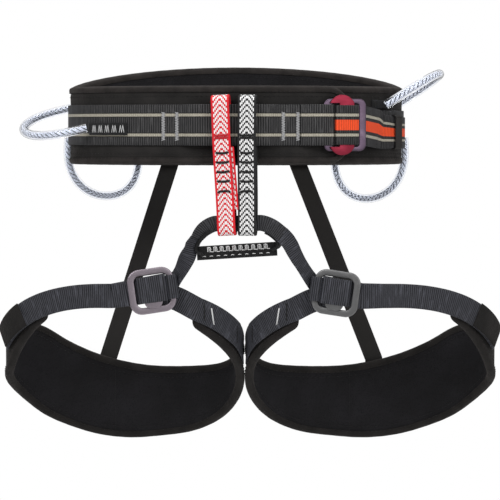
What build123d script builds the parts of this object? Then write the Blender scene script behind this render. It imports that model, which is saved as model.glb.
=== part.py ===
from build123d import *
import math
import os

# Climbing harness: padded waist belt, two belay loops, two leg loops and four gear loops.
# Millimetres. Origin: centre of the waist opening at webbing mid-height. +Z up, front towards -Y.

os.makedirs("parts", exist_ok=True)

UP = Vector(0, 0, 1)

# Waist belt, seen from above: a half ellipse behind and a wider one in front,
# where the belt's left end laps over its right end.
WAIST_A = 179.0
WAIST_B = 105.0
LAP_SHIFT = 8.0
LAP_A = WAIST_A + LAP_SHIFT
LAP_B = 116.0
LAP_END_X = 124.0
UNDERLAP_X = 50.0
COVER_T = 1.0
FOAM_T = 6.0
LINING_T = 1.0
BINDING_T = 0.4
BINDING_H = 5.0
BELT_TOP = 39.6
BELT_TOP_BACK = 64.0
BELT_BOTTOM = -41.0
BELT_BOTTOM_BACK = -44.0
BELT_BOTTOM_FRONT = -39.5

# Waist webbing and its quick-adjust buckle.
WEBBING_W = 42.5
WEBBING_T = 2.2
ADJUST_W = 41.0
ADJUST_T = 1.8
PLY_GAP = 0.3
BULGE = 6.5
TACK_X = (-74.0, -60.0, 49.0, 64.0)
WAIST_BUCKLE_X = 110.0
KEEPER_ANGLE = -17.0

# Belay loops, hung on the waist webbing and on the bridge strap.
LOOP_W = 19.0
LOOP_T = 2.4
LOOP_DEPTH = 15.0
LOOP_TOP = 31.0
LOOP_BOTTOM = -114.0
LOOP_Y = -125.5
LOOP_YAW = -8.0
RED_X = -11.9
RED_LEAN = -3.0
BLACK_X = 12.6

# Bridge strap, lower tie-in and side straps.
BRIDGE_W = 16.5
BRIDGE_T = 2.2
BRIDGE_Z = -101.4
TIE_BAR_W = 14.5
TIE_BAR_T = 4.2
SIDE_STRAP_W = 16.0

# Leg loops: a padded oval ring each, with a 25 mm strap and buckle in front.
LEG_Y = -30.0
LEG_B = 74.0
LEG_COVER_T = 0.8
LEG_FOAM_T = 5.4
LEG_LINING_T = 0.8
LEG_STRAP_W = 25.0
LEG_STRAP_T = 1.8
LEG_STRAP_Z = -177.5
RISER_W = 19.0
RISER_T = 1.6
# Top and bottom edge of the leg pad at each angle round the ring: 0 is the inner side of
# the thigh, 90 the back, 180 the outer side.
LEG_PAD = (
    (-53, -187, -211),
    (-30, -206, -238),
    (-8, -228, -264),
    (15, -248, -295),
    (35, -260, -319),
    (55, -265, -335),
    (75, -266, -342),
    (90, -262, -344),
    (105, -253, -340),
    (120, -239, -330),
    (135, -222, -317),
    (148, -215, -302),
    (160, -212, -289),
    (175, -212, -276),
    (188, -210, -266),
    (197, -205, -256),
    (207, -195, -240),
    (217, -185, -223),
    (224, -181.5, -212),
    (231, -180, -203),
)
# Ring centre, half width and buckle centre of each leg loop.
LEGS = {
    "left": {
        "centre": 119.5,
        "half": 127.5,
        "buckle": 88.0,
        "buckle_z": -172.0,
        "side": ((45.5, -119.5, -122.5), (50, -116, -138)),
        "twist": lambda share: 65 * math.sin(math.pi * min(1.0, 1.7 * share)) ** 2,
        "riser": (74.0, 142.0),
        "mirrored": True,
    },
    "right": {
        "centre": 144.0,
        "half": 133.5,
        "buckle": 105.5,
        "buckle_z": -174.5,
        "side": ((54.5, -119.5, -119.5), (65, -113, -139)),
        "twist": lambda share: 0.0,
        "riser": (68.0, 152.0),
        "mirrored": False,
    },
}

# Gear loops: braided cord inside a clear tube.
TUBE_R = 4.75
TUBE_BORE_R = 3.3
CORD_R = 3.0
GEAR_STAND_OFF = 7.6


def save(name, shape):
    """Write one named piece."""
    shape.label = name
    export_step(shape, f"parts/{name}.step")


def group(solids):
    """Several separate solids kept as one piece."""
    return Compound(children=list(solids))


# ---------------------------------------------------------------- curves


class Oval:
    """An ellipse in plan with exact normals, for pieces that follow a padded ring."""

    def __init__(self, centre_x, centre_y, a, b):
        self.centre = Vector(centre_x, centre_y, 0)
        self.a = a
        self.b = b

    def normal(self, angle):
        c = math.cos(math.radians(angle))
        s = math.sin(math.radians(angle))
        return Vector(self.b * c, self.a * s, 0).normalized()

    def point(self, angle, offset=0.0, z=0.0):
        c = math.cos(math.radians(angle))
        s = math.sin(math.radians(angle))
        base = self.centre + Vector(self.a * c, self.b * s, z)
        return base + self.normal(angle) * offset

    def angle_at(self, x):
        """Angle of the front half's point at this X."""
        return -math.degrees(math.acos((x - self.centre.X) / self.a))


REAR = Oval(0, 0, WAIST_A, WAIST_B)
LAP = Oval(LAP_SHIFT, 0, LAP_A, LAP_B)


def steps(start, end, count):
    """Evenly spaced values from start to end."""
    return [start + (end - start) * i / count for i in range(count + 1)]


def along_line(line, spacing):
    """Points at an even spacing along a curve."""
    count = max(2, round(line.length / spacing))
    return [line @ (i / count) for i in range(count + 1)]


def smooth(points, spacing=4.0):
    """Points along a smooth curve through the given ones."""
    return along_line(Spline(*points), spacing)


def ribbon(path, width, thickness, lean=UP, twist=lambda share: 0.0):
    """A strap along a path of points, its width turned towards lean as far as the path allows."""
    last = len(path) - 1
    leans = lean if isinstance(lean, list) else [lean] * len(path)
    sections = []
    for i, point in enumerate(path):
        along = (path[min(i + 1, last)] - path[max(i - 1, 0)]).normalized()
        across = (leans[i] - along * leans[i].dot(along)).normalized()
        across = across.rotate(Axis((0, 0, 0), tuple(along)), twist(i / last))
        half_w = across * (width / 2)
        half_t = along.cross(across) * (thickness / 2)
        corners = [
            point + half_w + half_t,
            point + half_w - half_t,
            point - half_w - half_t,
            point - half_w + half_t,
        ]
        sections.append(Wire.make_polygon(corners, close=True))
    return Solid.make_loft(sections, ruled=True)


def wall(stations, inner, outer):
    """A wall along a ring, lofted through (oval, angle, top, bottom) stations."""
    sections = []
    for oval, angle, top, bottom in stations:
        near = oval.point(angle, inner)
        far = oval.point(angle, outer)
        corners = [near + UP * bottom, far + UP * bottom, far + UP * top, near + UP * top]
        sections.append(Wire.make_polygon(corners, close=True))
    return Solid.make_loft(sections)


class Seat:
    """Flat place for a buckle on a ring: u along the strap, v away from the wearer, w up."""

    def __init__(self, oval, x, z, droop=0.0):
        angle = oval.angle_at(x)
        self.origin = oval.point(angle) + UP * z
        self.v = oval.normal(angle)
        level = UP.cross(self.v)
        self.u = level * math.cos(math.radians(droop)) - UP * math.sin(math.radians(droop))
        self.w = self.v.cross(self.u)
        self.face = Plane(origin=self.origin, x_dir=self.u, z_dir=self.v)

    def place(self, u, v, w=0.0):
        return self.origin + self.u * u + self.v * v + self.w * w

    def plate(self, sketch, low, high):
        """A flat plate cut to a sketch in u and w, between two heights above the ring."""
        face = self.face.offset(low) * sketch
        return extrude(face, amount=high - low, dir=self.v)


# ---------------------------------------------------------------- waist pad


def belt_top(y):
    return BELT_TOP + (BELT_TOP_BACK - BELT_TOP) * (max(0.0, y) / WAIST_B) ** 1.3


def belt_bottom(y):
    if y > 0:
        return BELT_BOTTOM + (BELT_BOTTOM_BACK - BELT_BOTTOM) * y / WAIST_B
    return BELT_BOTTOM + (BELT_BOTTOM_FRONT - BELT_BOTTOM) * -y / LAP_B


def belt_stations(inset):
    """Round the belt from the rounded lap end, past the left side and the back, to the underlap."""
    rounding = ((0, 9.0), (2, 18.0), (6, 26.0), (13, 33.0), (24, 38.0))
    found = []
    for distance, half_height in rounding:
        angle = LAP.angle_at(LAP_END_X - inset - distance)
        found.append((LAP, angle, half_height - inset, inset - half_height))
    for angle in steps(LAP.angle_at(LAP_END_X - 36), -172, 11):
        y = LAP.point(angle).Y
        found.append((LAP, angle, belt_top(y) - inset, belt_bottom(y) + inset))
    for angle in steps(180, -66, 20):
        y = REAR.point(angle).Y
        found.append((REAR, angle, belt_top(y) - inset, belt_bottom(y) + inset))
    last = REAR.angle_at(UNDERLAP_X + inset)
    y = REAR.point(last).Y
    found.append((REAR, last, belt_top(y) - inset - 2, belt_bottom(y) + inset + 2))
    return found


def waist_pad():
    pad_t = COVER_T + FOAM_T + LINING_T
    edge = BINDING_H / 2
    inset = belt_stations(edge)
    save("waist_pad_cover", wall(inset, -COVER_T + 0.05, 0))
    save("waist_pad_lining", wall(inset, -pad_t, -pad_t + LINING_T - 0.05))
    webbing_room = WEBBING_T + 0.2
    foam = wall(inset, -COVER_T - FOAM_T + 0.05, -COVER_T - webbing_room)
    save("waist_pad_foam", foam)
    core = []
    for angle in steps(180, -50, 60):
        core.append(REAR.point(angle, -COVER_T - webbing_room / 2))
    save("waist_webbing_core", ribbon(core, WEBBING_W, WEBBING_T - 0.1))
    outer = wall(belt_stations(0), -pad_t - BINDING_T, BINDING_T)
    binding = outer - wall(belt_stations(edge - 0.35), -pad_t - 2 * BINDING_T, 2 * BINDING_T)
    save("waist_pad_binding", binding)


# ---------------------------------------------------------------- waist webbing and buckle


def bulge(x):
    """How far the webbing stands off the pad between its inner bar tacks."""
    ramp = 16.0
    from_left = min(1.0, max(0.0, (x - TACK_X[1] - 2) / ramp))
    from_right = min(1.0, max(0.0, (TACK_X[2] - 2 - x) / ramp))
    rise = min(from_left, from_right)
    return BULGE * rise * rise * (3 - 2 * rise)


def lap_point(x, offset, z=0.0):
    return LAP.point(LAP.angle_at(x), offset, z)


def waist_webbing(seat):
    """Main webbing, folded round the fixed bar of the buckle and stitched back on itself."""
    inner = PLY_GAP + WEBBING_T / 2
    outer = inner + WEBBING_T + PLY_GAP
    path = [lap_point(x, inner + bulge(x)) for x in steps(-150, 74, 75)]
    fold = FilletPolyline(
        lap_point(76, inner),
        seat.place(-22, 3.3),
        seat.place(-12.5, 3.25),
        seat.place(-12.6, 9.4),
        seat.place(-24.5, 9.4),
        lap_point(75, outer + 0.1),
        lap_point(70, outer + 0.1),
        radius=[8, 2.4, 2.4, 4, 8],
    )
    path += along_line(fold, 0.7)
    save("waist_webbing_front", ribbon(path, WEBBING_W, WEBBING_T))
    tacks = []
    for x in TACK_X:
        path = [lap_point(x + dx, PLY_GAP + WEBBING_T + 0.4, -1.5) for dx in (-1.2, 0, 1.2)]
        tacks.append(ribbon(path, 29.0, 0.7))
    save("waist_bartacks", group(tacks))


def adjust_strap(seat):
    """Adjusting strap: from its anchor on the right, round the slider and back as the tail."""
    low = -5.0
    under = [REAR.point(angle, 1.3, low) for angle in steps(-3, -31, 20)]
    turn = FilletPolyline(
        REAR.point(-32, 1.4, low),
        seat.place(26, 1.2, -1),
        seat.place(-9.9, 1.2),
        seat.place(-9.9, 11.5),
        seat.place(14.6, 11.5),
        seat.place(14.6, 3.5),
        seat.place(26, 3.6, -1),
        REAR.point(-32, 4.1, low),
        radius=[12, 2.4, 2.4, 2.2, 2.2, 12],
    )
    over = [REAR.point(angle, 4.0, low) for angle in steps(-31, 4, 24)]
    path = under + along_line(turn, 0.7) + over
    save("waist_adjust_strap", ribbon(path, ADJUST_W, ADJUST_T))
    keeper_seat = Seat(REAR, REAR.point(KEEPER_ANGLE).X, low)
    band = Rectangle(11, ADJUST_W + 3.6)
    hollow = Rectangle(12, ADJUST_W + 1.2)
    keeper = keeper_seat.plate(band, 0.3, 6.6) - keeper_seat.plate(hollow, 0.1, 5.4)
    save("waist_strap_keeper", keeper)


def waist_buckle(seat):
    outline = Pos(1, 0) * RectangleRounded(48, 54, 7)
    window = Pos(1.15, 0) * RectangleRounded(30.7, 44, 2.5)
    save("waist_buckle_frame", seat.plate(outline - window, 4.8, 7.8))
    edge = Polyline((-17, 22.4), (-6.3, 22.4), (-6.3, -22.4), (-17, -22.4))
    lower = ThreePointArc((-17, -22.4), (0, -31), (10.5, -23))
    upper = ThreePointArc((10.5, 23), (0, 31), (-17, 22.4))
    slider = make_face(edge + lower + Line((10.5, -23), (10.5, 23)) + upper)
    save("waist_buckle_slider", seat.plate(slider, 8.3, 10.1))


# ---------------------------------------------------------------- belay loops and bridge


def belay_loop(name, x, lean):
    """Upright loop of doubled webbing with its end ply and bar tacks."""
    straight = LOOP_TOP - LOOP_BOTTOM - LOOP_DEPTH
    inner_depth = LOOP_DEPTH - 2 * LOOP_T
    section = Plane.YZ
    outer = SlotCenterToCenter(straight, LOOP_DEPTH, rotation=90)
    inner = SlotCenterToCenter(straight, inner_depth, rotation=90)
    ring = extrude(section * (outer - inner), amount=LOOP_W / 2, both=True)
    middle_z = (LOOP_TOP + LOOP_BOTTOM) / 2
    place = Pos(x, LOOP_Y, middle_z) * Rot(0, lean, 0) * Rot(0, 0, LOOP_YAW)
    save(name, place * ring)
    ply_top = -24 - middle_z
    ply_bottom = -88 - middle_z
    ply_y = -LOOP_DEPTH / 2 + LOOP_T + 0.1
    ply = Box(LOOP_W, 2.0, ply_top - ply_bottom)
    ply = Pos(0, ply_y + 1.0, (ply_top + ply_bottom) / 2) * ply
    save(name + "_end_ply", place * ply)
    tacks = [Pos(0, -LOOP_DEPTH / 2 - 0.4, -12 - middle_z) * Box(14, 0.7, 5)]
    for i in range(5):
        height = -29 - 9.7 * i - middle_z
        tacks.append(Pos(0, -LOOP_DEPTH / 2 - 0.4, height) * Box(13, 0.7, 2.0))
    save(name + "_bartacks", group([place * tack for tack in tacks]))


def bridge():
    """Strap through the foot of both belay loops, and the stitched bar that closes the tie-in."""
    middle = Spline(
        (-41, -120.5, -118.0),
        (-33, -122.5, -108.0),
        (-23, -125.3, -102.0),
        (-14, -125.5, BRIDGE_Z),
        (0, -125.5, BRIDGE_Z),
        (16, -125.5, BRIDGE_Z),
        (27, -125.5, BRIDGE_Z + 0.6),
        (38, -123.5, -105.0),
        (49, -120.5, -113.5),
    )
    save("bridge_strap", ribbon(along_line(middle, 3.0), BRIDGE_W, BRIDGE_T))
    bar = [Vector(x, -113.5, -130.4 + 0.06 * x) for x in steps(-40, 43, 12)]
    save("tie_in_bar", ribbon(bar, TIE_BAR_W, TIE_BAR_T))
    rows = []
    for z, height in ((-127.2, 5.0), (-134.0, 1.4)):
        row = [Vector(x, -116.1, z + 0.06 * x) for x in steps(-30, 34, 8)]
        rows.append(ribbon(row, height, 0.7))
    save("tie_in_bartacks", group(rows))


# ---------------------------------------------------------------- gear loops


def gear_loop(name, start, end, reach, ends_on):
    """A braided cord in a clear tube, from one sewn end to the other, as a smooth U."""
    middle = (start + end) * 0.5
    half = (start - end) * 0.5

    def at(share):
        swing = math.cos(math.pi * share)
        depth = max(0.0, math.sin(math.pi * share)) ** 0.8
        return middle + half * (swing * (1 + 0.15 * depth)) + reach * depth

    line = Spline(*[at(share) for share in steps(0, 1, 14)])
    section = Plane(origin=line @ 0, z_dir=line % 0)
    tube = sweep(section * (Circle(TUBE_R) - Circle(TUBE_BORE_R)), path=line)
    cord = sweep(section * Circle(CORD_R), path=line)
    save(f"gear_loop_{name}_tube", tube)
    save(f"gear_loop_{name}_cord", cord)
    tabs = []
    for oval, angle, z, offset, length, height in ends_on:
        spread = math.degrees(length / 2 / 110)
        path = [oval.point(a, offset + 1.0, z) for a in steps(angle - spread, angle + spread, 8)]
        tabs.append(ribbon(path, height, 1.8))
    save(f"gear_tab_{name}", group(tabs))


def gear_loops():
    rear_start_angle = 11.0
    rear_end_angle = 53.0
    for name, side in (("rear_left", -1), ("rear_right", 1)):
        start = REAR.point(rear_start_angle, GEAR_STAND_OFF, -14)
        end = REAR.point(rear_end_angle, GEAR_STAND_OFF, -22)
        start = Vector(start.X * side, start.Y, start.Z)
        end = Vector(end.X * side, end.Y, end.Z)
        reach = Vector(0, 0, -60 if side < 0 else -63)
        angles = [rear_start_angle, rear_end_angle]
        if side < 0:
            angles = [180 - angle for angle in angles]
        ends_on = [(REAR, angles[0], -8, 0.3, 12, 22), (REAR, angles[1], -16, 0.3, 12, 22)]
        gear_loop(name, start, end, reach, ends_on)
    start = lap_point(-149, 11.5, -3)
    end = REAR.point(160, GEAR_STAND_OFF, 20)
    ends_on = [(LAP, LAP.angle_at(-133), -4, 2.9, 36, 13), (REAR, 160, 20, 0.3, 24, 12)]
    gear_loop("front_left", start, end, Vector(-62, -2, -14), ends_on)
    start = REAR.point(-31, GEAR_STAND_OFF, 21)
    end = REAR.point(20, GEAR_STAND_OFF, 21)
    ends_on = [(REAR, -31, 22, 0.3, 24, 9), (REAR, 20, 21, 0.3, 24, 12)]
    gear_loop("front_right", start, end, Vector(52, -3, 34), ends_on)


# ---------------------------------------------------------------- leg loops


def leg_strap_z(angle):
    """Height of the leg strap's middle, from the buckle down to the pad's outer end."""
    return LEG_STRAP_Z - 42 * max(0.0, (angle + 80) / 60) ** 2


def inner_strap_z(angle):
    """Height of the inner strap's middle, from the buckle down to the inner side."""
    return -183 - 57 * max(0.0, (-108 - angle) / 65) ** 1.5


def stand_off(angle):
    """Clearance of a sloping strap from the pad: more where the ring curves hardest."""
    outer_side = max(0.0, (angle + 50) / 37)
    inner_side = max(0.0, (-130 - angle) / 32)
    return BINDING_T + 0.5 + 0.9 * outer_side**2 + 0.8 * inner_side**2


def leg_stations(oval, inset):
    found = []
    for angle, top, bottom in LEG_PAD:
        found.append((oval, 180 - angle, top - inset, bottom + inset))
    return found


def leg_pad(pieces, oval):
    pad_t = LEG_COVER_T + LEG_FOAM_T + LEG_LINING_T
    edge = BINDING_H / 2
    inset = leg_stations(oval, edge)[1:-1]
    ends = leg_stations(oval, edge)
    first = (oval, ends[0][1] - 3, ends[0][2] - 3, ends[0][3] + 3)
    last = (oval, ends[-1][1] + 3, ends[-1][2] - 3, ends[-1][3] + 3)
    inset = [first] + inset + [last]
    pieces["leg_pad_cover"] = wall(inset, -LEG_COVER_T + 0.05, 0)
    pieces["leg_pad_foam"] = wall(inset, -LEG_COVER_T - LEG_FOAM_T, -LEG_COVER_T)
    pieces["leg_pad_lining"] = wall(inset, -pad_t, -pad_t + LEG_LINING_T - 0.05)
    outer = wall(leg_stations(oval, 0), -pad_t - BINDING_T, BINDING_T)
    first = (oval, first[1] + 0.2, first[2] + 0.2, first[3] - 0.2)
    last = (oval, last[1] - 0.2, last[2] + 0.2, last[3] - 0.2)
    hollow = [first] + leg_stations(oval, edge - 0.2)[1:-1] + [last]
    pieces["leg_pad_binding"] = outer - wall(hollow, -pad_t - 2 * BINDING_T, 2 * BINDING_T)


def leg_straps(pieces, oval, seat, side_points, side_twist):
    under = [oval.point(a, stand_off(a) + 0.9, leg_strap_z(a)) for a in steps(-13, -84, 36)]
    over = [oval.point(a, stand_off(a) + 3.2, leg_strap_z(a)) for a in steps(-84, -20, 33)]
    turn = FilletPolyline(
        oval.point(-86, stand_off(-86) + 0.9, leg_strap_z(-86)),
        seat.place(26, 1.2),
        seat.place(-14.4, 1.2),
        seat.place(-14.4, 10.5),
        seat.place(13.8, 10.5),
        seat.place(13.8, 3.3),
        seat.place(26, 3.3),
        oval.point(-86, stand_off(-86) + 3.2, leg_strap_z(-86)),
        radius=[12, 2.2, 2.2, 2.0, 2.0, 12],
    )
    turned = along_line(turn, 0.7)
    path = under + turned + over
    leans = [UP] * len(under) + [seat.w] * len(turned) + [UP] * len(over)
    pieces["leg_strap"] = ribbon(path, LEG_STRAP_W, LEG_STRAP_T, lean=leans)
    keeper = [oval.point(a, stand_off(a) + 5.2, leg_strap_z(a)) for a in steps(-14, -37, 14)]
    pieces["leg_strap_keeper"] = ribbon(keeper, LEG_STRAP_W + 4, 1.2)

    loop_outer = FilletPolyline(
        seat.place(-21, 3.2),
        seat.place(-16.7, 3.2),
        seat.place(-16.7, 8.7),
        seat.place(-26.3, 8.7),
        seat.place(-26.3, 3.2),
        seat.place(-22.6, 3.2),
        radius=1.9,
    )
    pieces["leg_fixed_loop"] = ribbon(along_line(loop_outer, 0.7), LEG_STRAP_W, LEG_STRAP_T, lean=seat.w)

    inner = [oval.point(a, stand_off(a) + 0.9, inner_strap_z(a)) for a in steps(-162, -128, 17)]
    inner += smooth([inner[-1], seat.place(-24, -5.0, -12), seat.place(-8, -5.6, -8)], 3.0)[1:]
    pieces["leg_inner_strap"] = ribbon(inner, LEG_STRAP_W, LEG_STRAP_T)

    side = [Vector(*point) for point in side_points] + [seat.place(-25, -1.6, 6), seat.place(-10, -1.6, 2)]
    pieces["side_strap"] = ribbon(smooth(side, 3.0), SIDE_STRAP_W, LEG_STRAP_T, twist=side_twist)

    tacks = []
    for middle in (-132, -158):
        tack = [oval.point(a, stand_off(a) + 2.3, inner_strap_z(a)) for a in steps(middle - 1, middle, 2)]
        tacks.append(ribbon(tack, 20, 0.7))
    pieces["leg_bartacks"] = group(tacks)


def leg_buckle(pieces, seat):
    outline = RectangleRounded(49, 47, 13)
    window = Pos(-0.5, 0) * RectangleRounded(35, 33, 6)
    pieces["leg_buckle_frame"] = seat.plate(outline - window, 4.6, 7.2)
    slider = Pos(-0.3, 0) * RectangleRounded(19.4, 37, 7)
    pieces["leg_buckle_slider"] = seat.plate(slider, 7.6, 9.2)


def leg_riser(pieces, oval, top_x, foot_x):
    top_angle = -REAR.angle_at(top_x)
    foot_angle = -oval.angle_at(foot_x)
    top = [REAR.point(top_angle, 1.8, z) for z in (-18, -26, -34, -42)]
    foot = [oval.point(foot_angle, 2.2, z) for z in (-258, -266, -274, -282)]
    middle = [top[-1] + (foot[0] - top[-1]) * share for share in steps(0, 1, 20)[1:-1]]
    across = []
    for share in steps(0, 1, len(middle) + 7):
        normal = REAR.normal(top_angle) * (1 - share) + oval.normal(foot_angle) * share
        across.append(UP.cross(normal))
    pieces["leg_riser"] = ribbon(top + middle + foot, RISER_W, RISER_T, lean=across)


def leg(side, sizes):
    """One leg loop, built on the right and mirrored for the left."""
    oval = Oval(sizes["centre"], LEG_Y, sizes["half"], LEG_B)
    seat = Seat(oval, sizes["buckle"], sizes["buckle_z"], droop=8.0)
    pieces = {}
    leg_pad(pieces, oval)
    leg_straps(pieces, oval, seat, sizes["side"], sizes["twist"])
    leg_buckle(pieces, seat)
    leg_riser(pieces, oval, *sizes["riser"])
    for name, piece in pieces.items():
        if sizes["mirrored"]:
            piece = mirror(piece, about=Plane.YZ)
        save(f"{name}_{side}", piece)


waist_seat = Seat(LAP, WAIST_BUCKLE_X, 0.0)
waist_pad()
waist_webbing(waist_seat)
adjust_strap(waist_seat)
waist_buckle(waist_seat)
belay_loop("belay_loop_red", RED_X, RED_LEAN)
belay_loop("belay_loop_black", BLACK_X, 0.0)
bridge()
gear_loops()
for side_name, side_sizes in LEGS.items():
    leg(side_name, side_sizes)
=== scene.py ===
import bisect
import bpy
import math
from mathutils import Matrix, Vector


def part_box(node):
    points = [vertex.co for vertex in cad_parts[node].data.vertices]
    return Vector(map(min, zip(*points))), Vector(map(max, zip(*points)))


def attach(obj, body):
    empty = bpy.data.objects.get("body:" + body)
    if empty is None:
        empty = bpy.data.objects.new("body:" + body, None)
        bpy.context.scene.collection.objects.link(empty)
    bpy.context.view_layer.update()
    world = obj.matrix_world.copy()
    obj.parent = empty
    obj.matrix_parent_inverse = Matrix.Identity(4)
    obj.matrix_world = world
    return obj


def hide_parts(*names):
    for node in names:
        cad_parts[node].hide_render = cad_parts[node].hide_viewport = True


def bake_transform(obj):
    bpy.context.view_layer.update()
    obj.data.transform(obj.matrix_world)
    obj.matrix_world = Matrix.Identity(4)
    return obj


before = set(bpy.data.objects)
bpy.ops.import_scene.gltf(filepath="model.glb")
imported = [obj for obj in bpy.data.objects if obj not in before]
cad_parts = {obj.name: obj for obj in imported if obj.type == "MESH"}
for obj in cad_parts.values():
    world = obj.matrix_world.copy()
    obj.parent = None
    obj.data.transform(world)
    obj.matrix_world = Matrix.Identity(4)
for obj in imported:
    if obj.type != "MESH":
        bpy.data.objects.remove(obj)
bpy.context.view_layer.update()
MM = 0.001
UP = Vector((0, 0, 1))

# ---------------------------------------------------------------- sizes, in millimetres


def box_mm(node):
    """Lowest and highest corner of a CAD node, in millimetres."""
    low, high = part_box(node)
    return Vector(low) / MM, Vector(high) / MM


BELT_LOW, BELT_HIGH = box_mm("waist_pad_cover")
WAIST_A = -BELT_LOW.x
WAIST_B = BELT_HIGH.y
LAP_SHIFT = 8.0
LAP_A = WAIST_A + LAP_SHIFT
LAP_B = -BELT_LOW.y
LAP_END_X = 124.0
UNDERLAP_X = 50.0
BELT_PAD_T = 8.0
BELT_TOP = 39.6
BELT_TOP_BACK = 64.0
BELT_BOTTOM = -41.0
BELT_BOTTOM_BACK = -44.0
BELT_BOTTOM_FRONT = -39.5
WEBBING_W = 42.5
WEBBING_T = 2.2
ADJUST_W = 41.0
STRAP_T = 1.8
PLY_GAP = 0.3
BULGE = 6.5
TACK_X = (-74.0, -60.0, 49.0, 64.0)
WAIST_BUCKLE_X = 110.0
LOOP_W = 19.0
LOOP_T = 2.4
LOOP_DEPTH = 15.0
LOOP_TOP = 31.0
LOOP_BOTTOM = -114.0
LOOP_Y = -125.5
LOOP_YAW = -8.0
LOOPS = {"red": (-11.9, -3.0), "black": (12.6, 0.0)}
BRIDGE_Z = -101.4
LEG_Y = -30.0
LEG_B = 74.0
LEG_PAD_T = 7.0
LEG_STRAP_W = 25.0
LEG_STRAP_Z = -177.5
LEG_PAD = (
    (-53, -187, -211), (-30, -206, -238), (-8, -228, -264), (15, -248, -295),
    (35, -260, -319), (55, -265, -335), (75, -266, -342), (90, -262, -344),
    (105, -253, -340), (120, -239, -330), (135, -222, -317), (148, -215, -302),
    (160, -212, -289), (175, -212, -276), (188, -210, -266), (197, -205, -256),
    (207, -195, -240), (217, -185, -223), (224, -181.5, -212), (231, -180, -203),
)
TUBE_R = 4.75
TUBE_BORE_R = 3.3
CORD_R = 3.0
GEAR_STAND_OFF = 7.6
ADJUST_Z = -5.0
PAD_QUAD = 4.7


# ---------------------------------------------------------------- curves


class Oval:
    """An ellipse in plan with exact normals, for pieces that follow a padded ring."""

    def __init__(self, centre_x, centre_y, a, b):
        self.centre = Vector((centre_x, centre_y, 0))
        self.a = a
        self.b = b

    def normal(self, angle):
        c = math.cos(math.radians(angle))
        s = math.sin(math.radians(angle))
        return Vector((self.b * c, self.a * s, 0)).normalized()

    def point(self, angle, offset=0.0, z=0.0):
        c = math.cos(math.radians(angle))
        s = math.sin(math.radians(angle))
        base = self.centre + Vector((self.a * c, self.b * s, z))
        return base + self.normal(angle) * offset

    def angle_at(self, x):
        return -math.degrees(math.acos((x - self.centre.x) / self.a))


REAR = Oval(0, 0, WAIST_A, WAIST_B)
LAP = Oval(LAP_SHIFT, 0, LAP_A, LAP_B)


class Seat:
    """Flat place for a buckle on a ring: u along the strap, v away from the wearer, w up."""

    def __init__(self, oval, x, z, droop=0.0):
        angle = oval.angle_at(x)
        self.origin = oval.point(angle) + UP * z
        self.v = oval.normal(angle)
        level = UP.cross(self.v)
        self.u = level * math.cos(math.radians(droop)) - UP * math.sin(math.radians(droop))
        self.w = self.v.cross(self.u)

    def place(self, u, v, w=0.0):
        return self.origin + self.u * u + self.v * v + self.w * w


def steps(start, end, count):
    return [start + (end - start) * i / count for i in range(count + 1)]


def resample(points, spacing):
    """Points at an even spacing along a polyline."""
    lengths = [0.0]
    for a, b in zip(points, points[1:]):
        lengths.append(lengths[-1] + (b - a).length)
    count = max(2, round(lengths[-1] / spacing))
    found = []
    k = 0
    for i in range(count + 1):
        want = lengths[-1] * i / count
        while k < len(points) - 2 and lengths[k + 1] < want:
            k += 1
        span = max(1e-9, lengths[k + 1] - lengths[k])
        found.append(points[k].lerp(points[k + 1], min(1.0, (want - lengths[k]) / span)))
    return found


def smooth(points, spacing=2.0):
    """Points along a smooth curve through the given ones."""
    pts = [Vector(p) for p in points]
    pts = [pts[0] * 2 - pts[1]] + pts + [pts[-1] * 2 - pts[-2]]
    dense = []
    for p0, p1, p2, p3 in zip(pts, pts[1:], pts[2:], pts[3:]):
        for i in range(16):
            t = i / 16
            a = (p2 - p0) * 0.5
            b = (p3 - p1) * 0.5
            rise = t * t * (3 - 2 * t)
            dense.append(
                p1 * (1 - rise) + p2 * rise
                + a * (t**3 - 2 * t**2 + t) + b * (t**3 - t**2)
            )
    dense.append(pts[-2])
    return resample(dense, spacing)


def rounded(points, radii):
    """Points along a polyline whose inner corners are rounded."""
    dense = [points[0]]
    for before, corner, after, radius in zip(points, points[1:], points[2:], radii):
        back = (before - corner).normalized()
        ahead = (after - corner).normalized()
        half = back.angle(ahead) / 2
        reach = radius / math.tan(half)
        centre = corner + (back + ahead).normalized() * (radius / math.sin(half))
        start = corner + back * reach - centre
        end = corner + ahead * reach - centre
        turn = start.angle(end)
        count = max(2, round(radius * turn / 0.5))
        for i in range(count + 1):
            share = i / count
            arm = start * math.sin((1 - share) * turn) + end * math.sin(share * turn)
            dense.append(centre + arm / math.sin(turn))
    dense.append(points[-1])
    return resample(dense, 0.6)


# ---------------------------------------------------------------- meshes


def mesh_object(name, vertices, faces, material, uvs=None, face_slots=None, extra=()):
    """A smooth mesh object from vertices in millimetres, with a UV map in metres."""
    mesh = bpy.data.meshes.new(name)
    mesh.from_pydata([tuple(v * MM) for v in vertices], [], faces)
    if uvs is not None:
        layer = mesh.uv_layers.new(name="weave")
        for loop, uv in zip(layer.data, uvs):
            loop.uv = uv
    for entry in (material,) + tuple(extra):
        mesh.materials.append(entry)
    if face_slots is not None:
        mesh.polygons.foreach_set("material_index", face_slots)
    mesh.polygons.foreach_set("use_smooth", [True] * len(mesh.polygons))
    mesh.update()
    obj = bpy.data.objects.new(name, mesh)
    bpy.context.scene.collection.objects.link(obj)
    return obj


def skin(rings, closed_ends=True):
    """Faces that join rings of equal size into one closed skin."""
    size = len(rings[0])
    vertices = [v for ring in rings for v in ring]
    faces = []
    for i in range(len(rings) - 1):
        for j in range(size):
            k = (j + 1) % size
            faces.append((i * size + j, i * size + k, (i + 1) * size + k, (i + 1) * size + j))
    if closed_ends:
        faces.append(tuple(range(size - 1, -1, -1)))
        faces.append(tuple(range((len(rings) - 1) * size, len(rings) * size)))
    return vertices, faces


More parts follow.
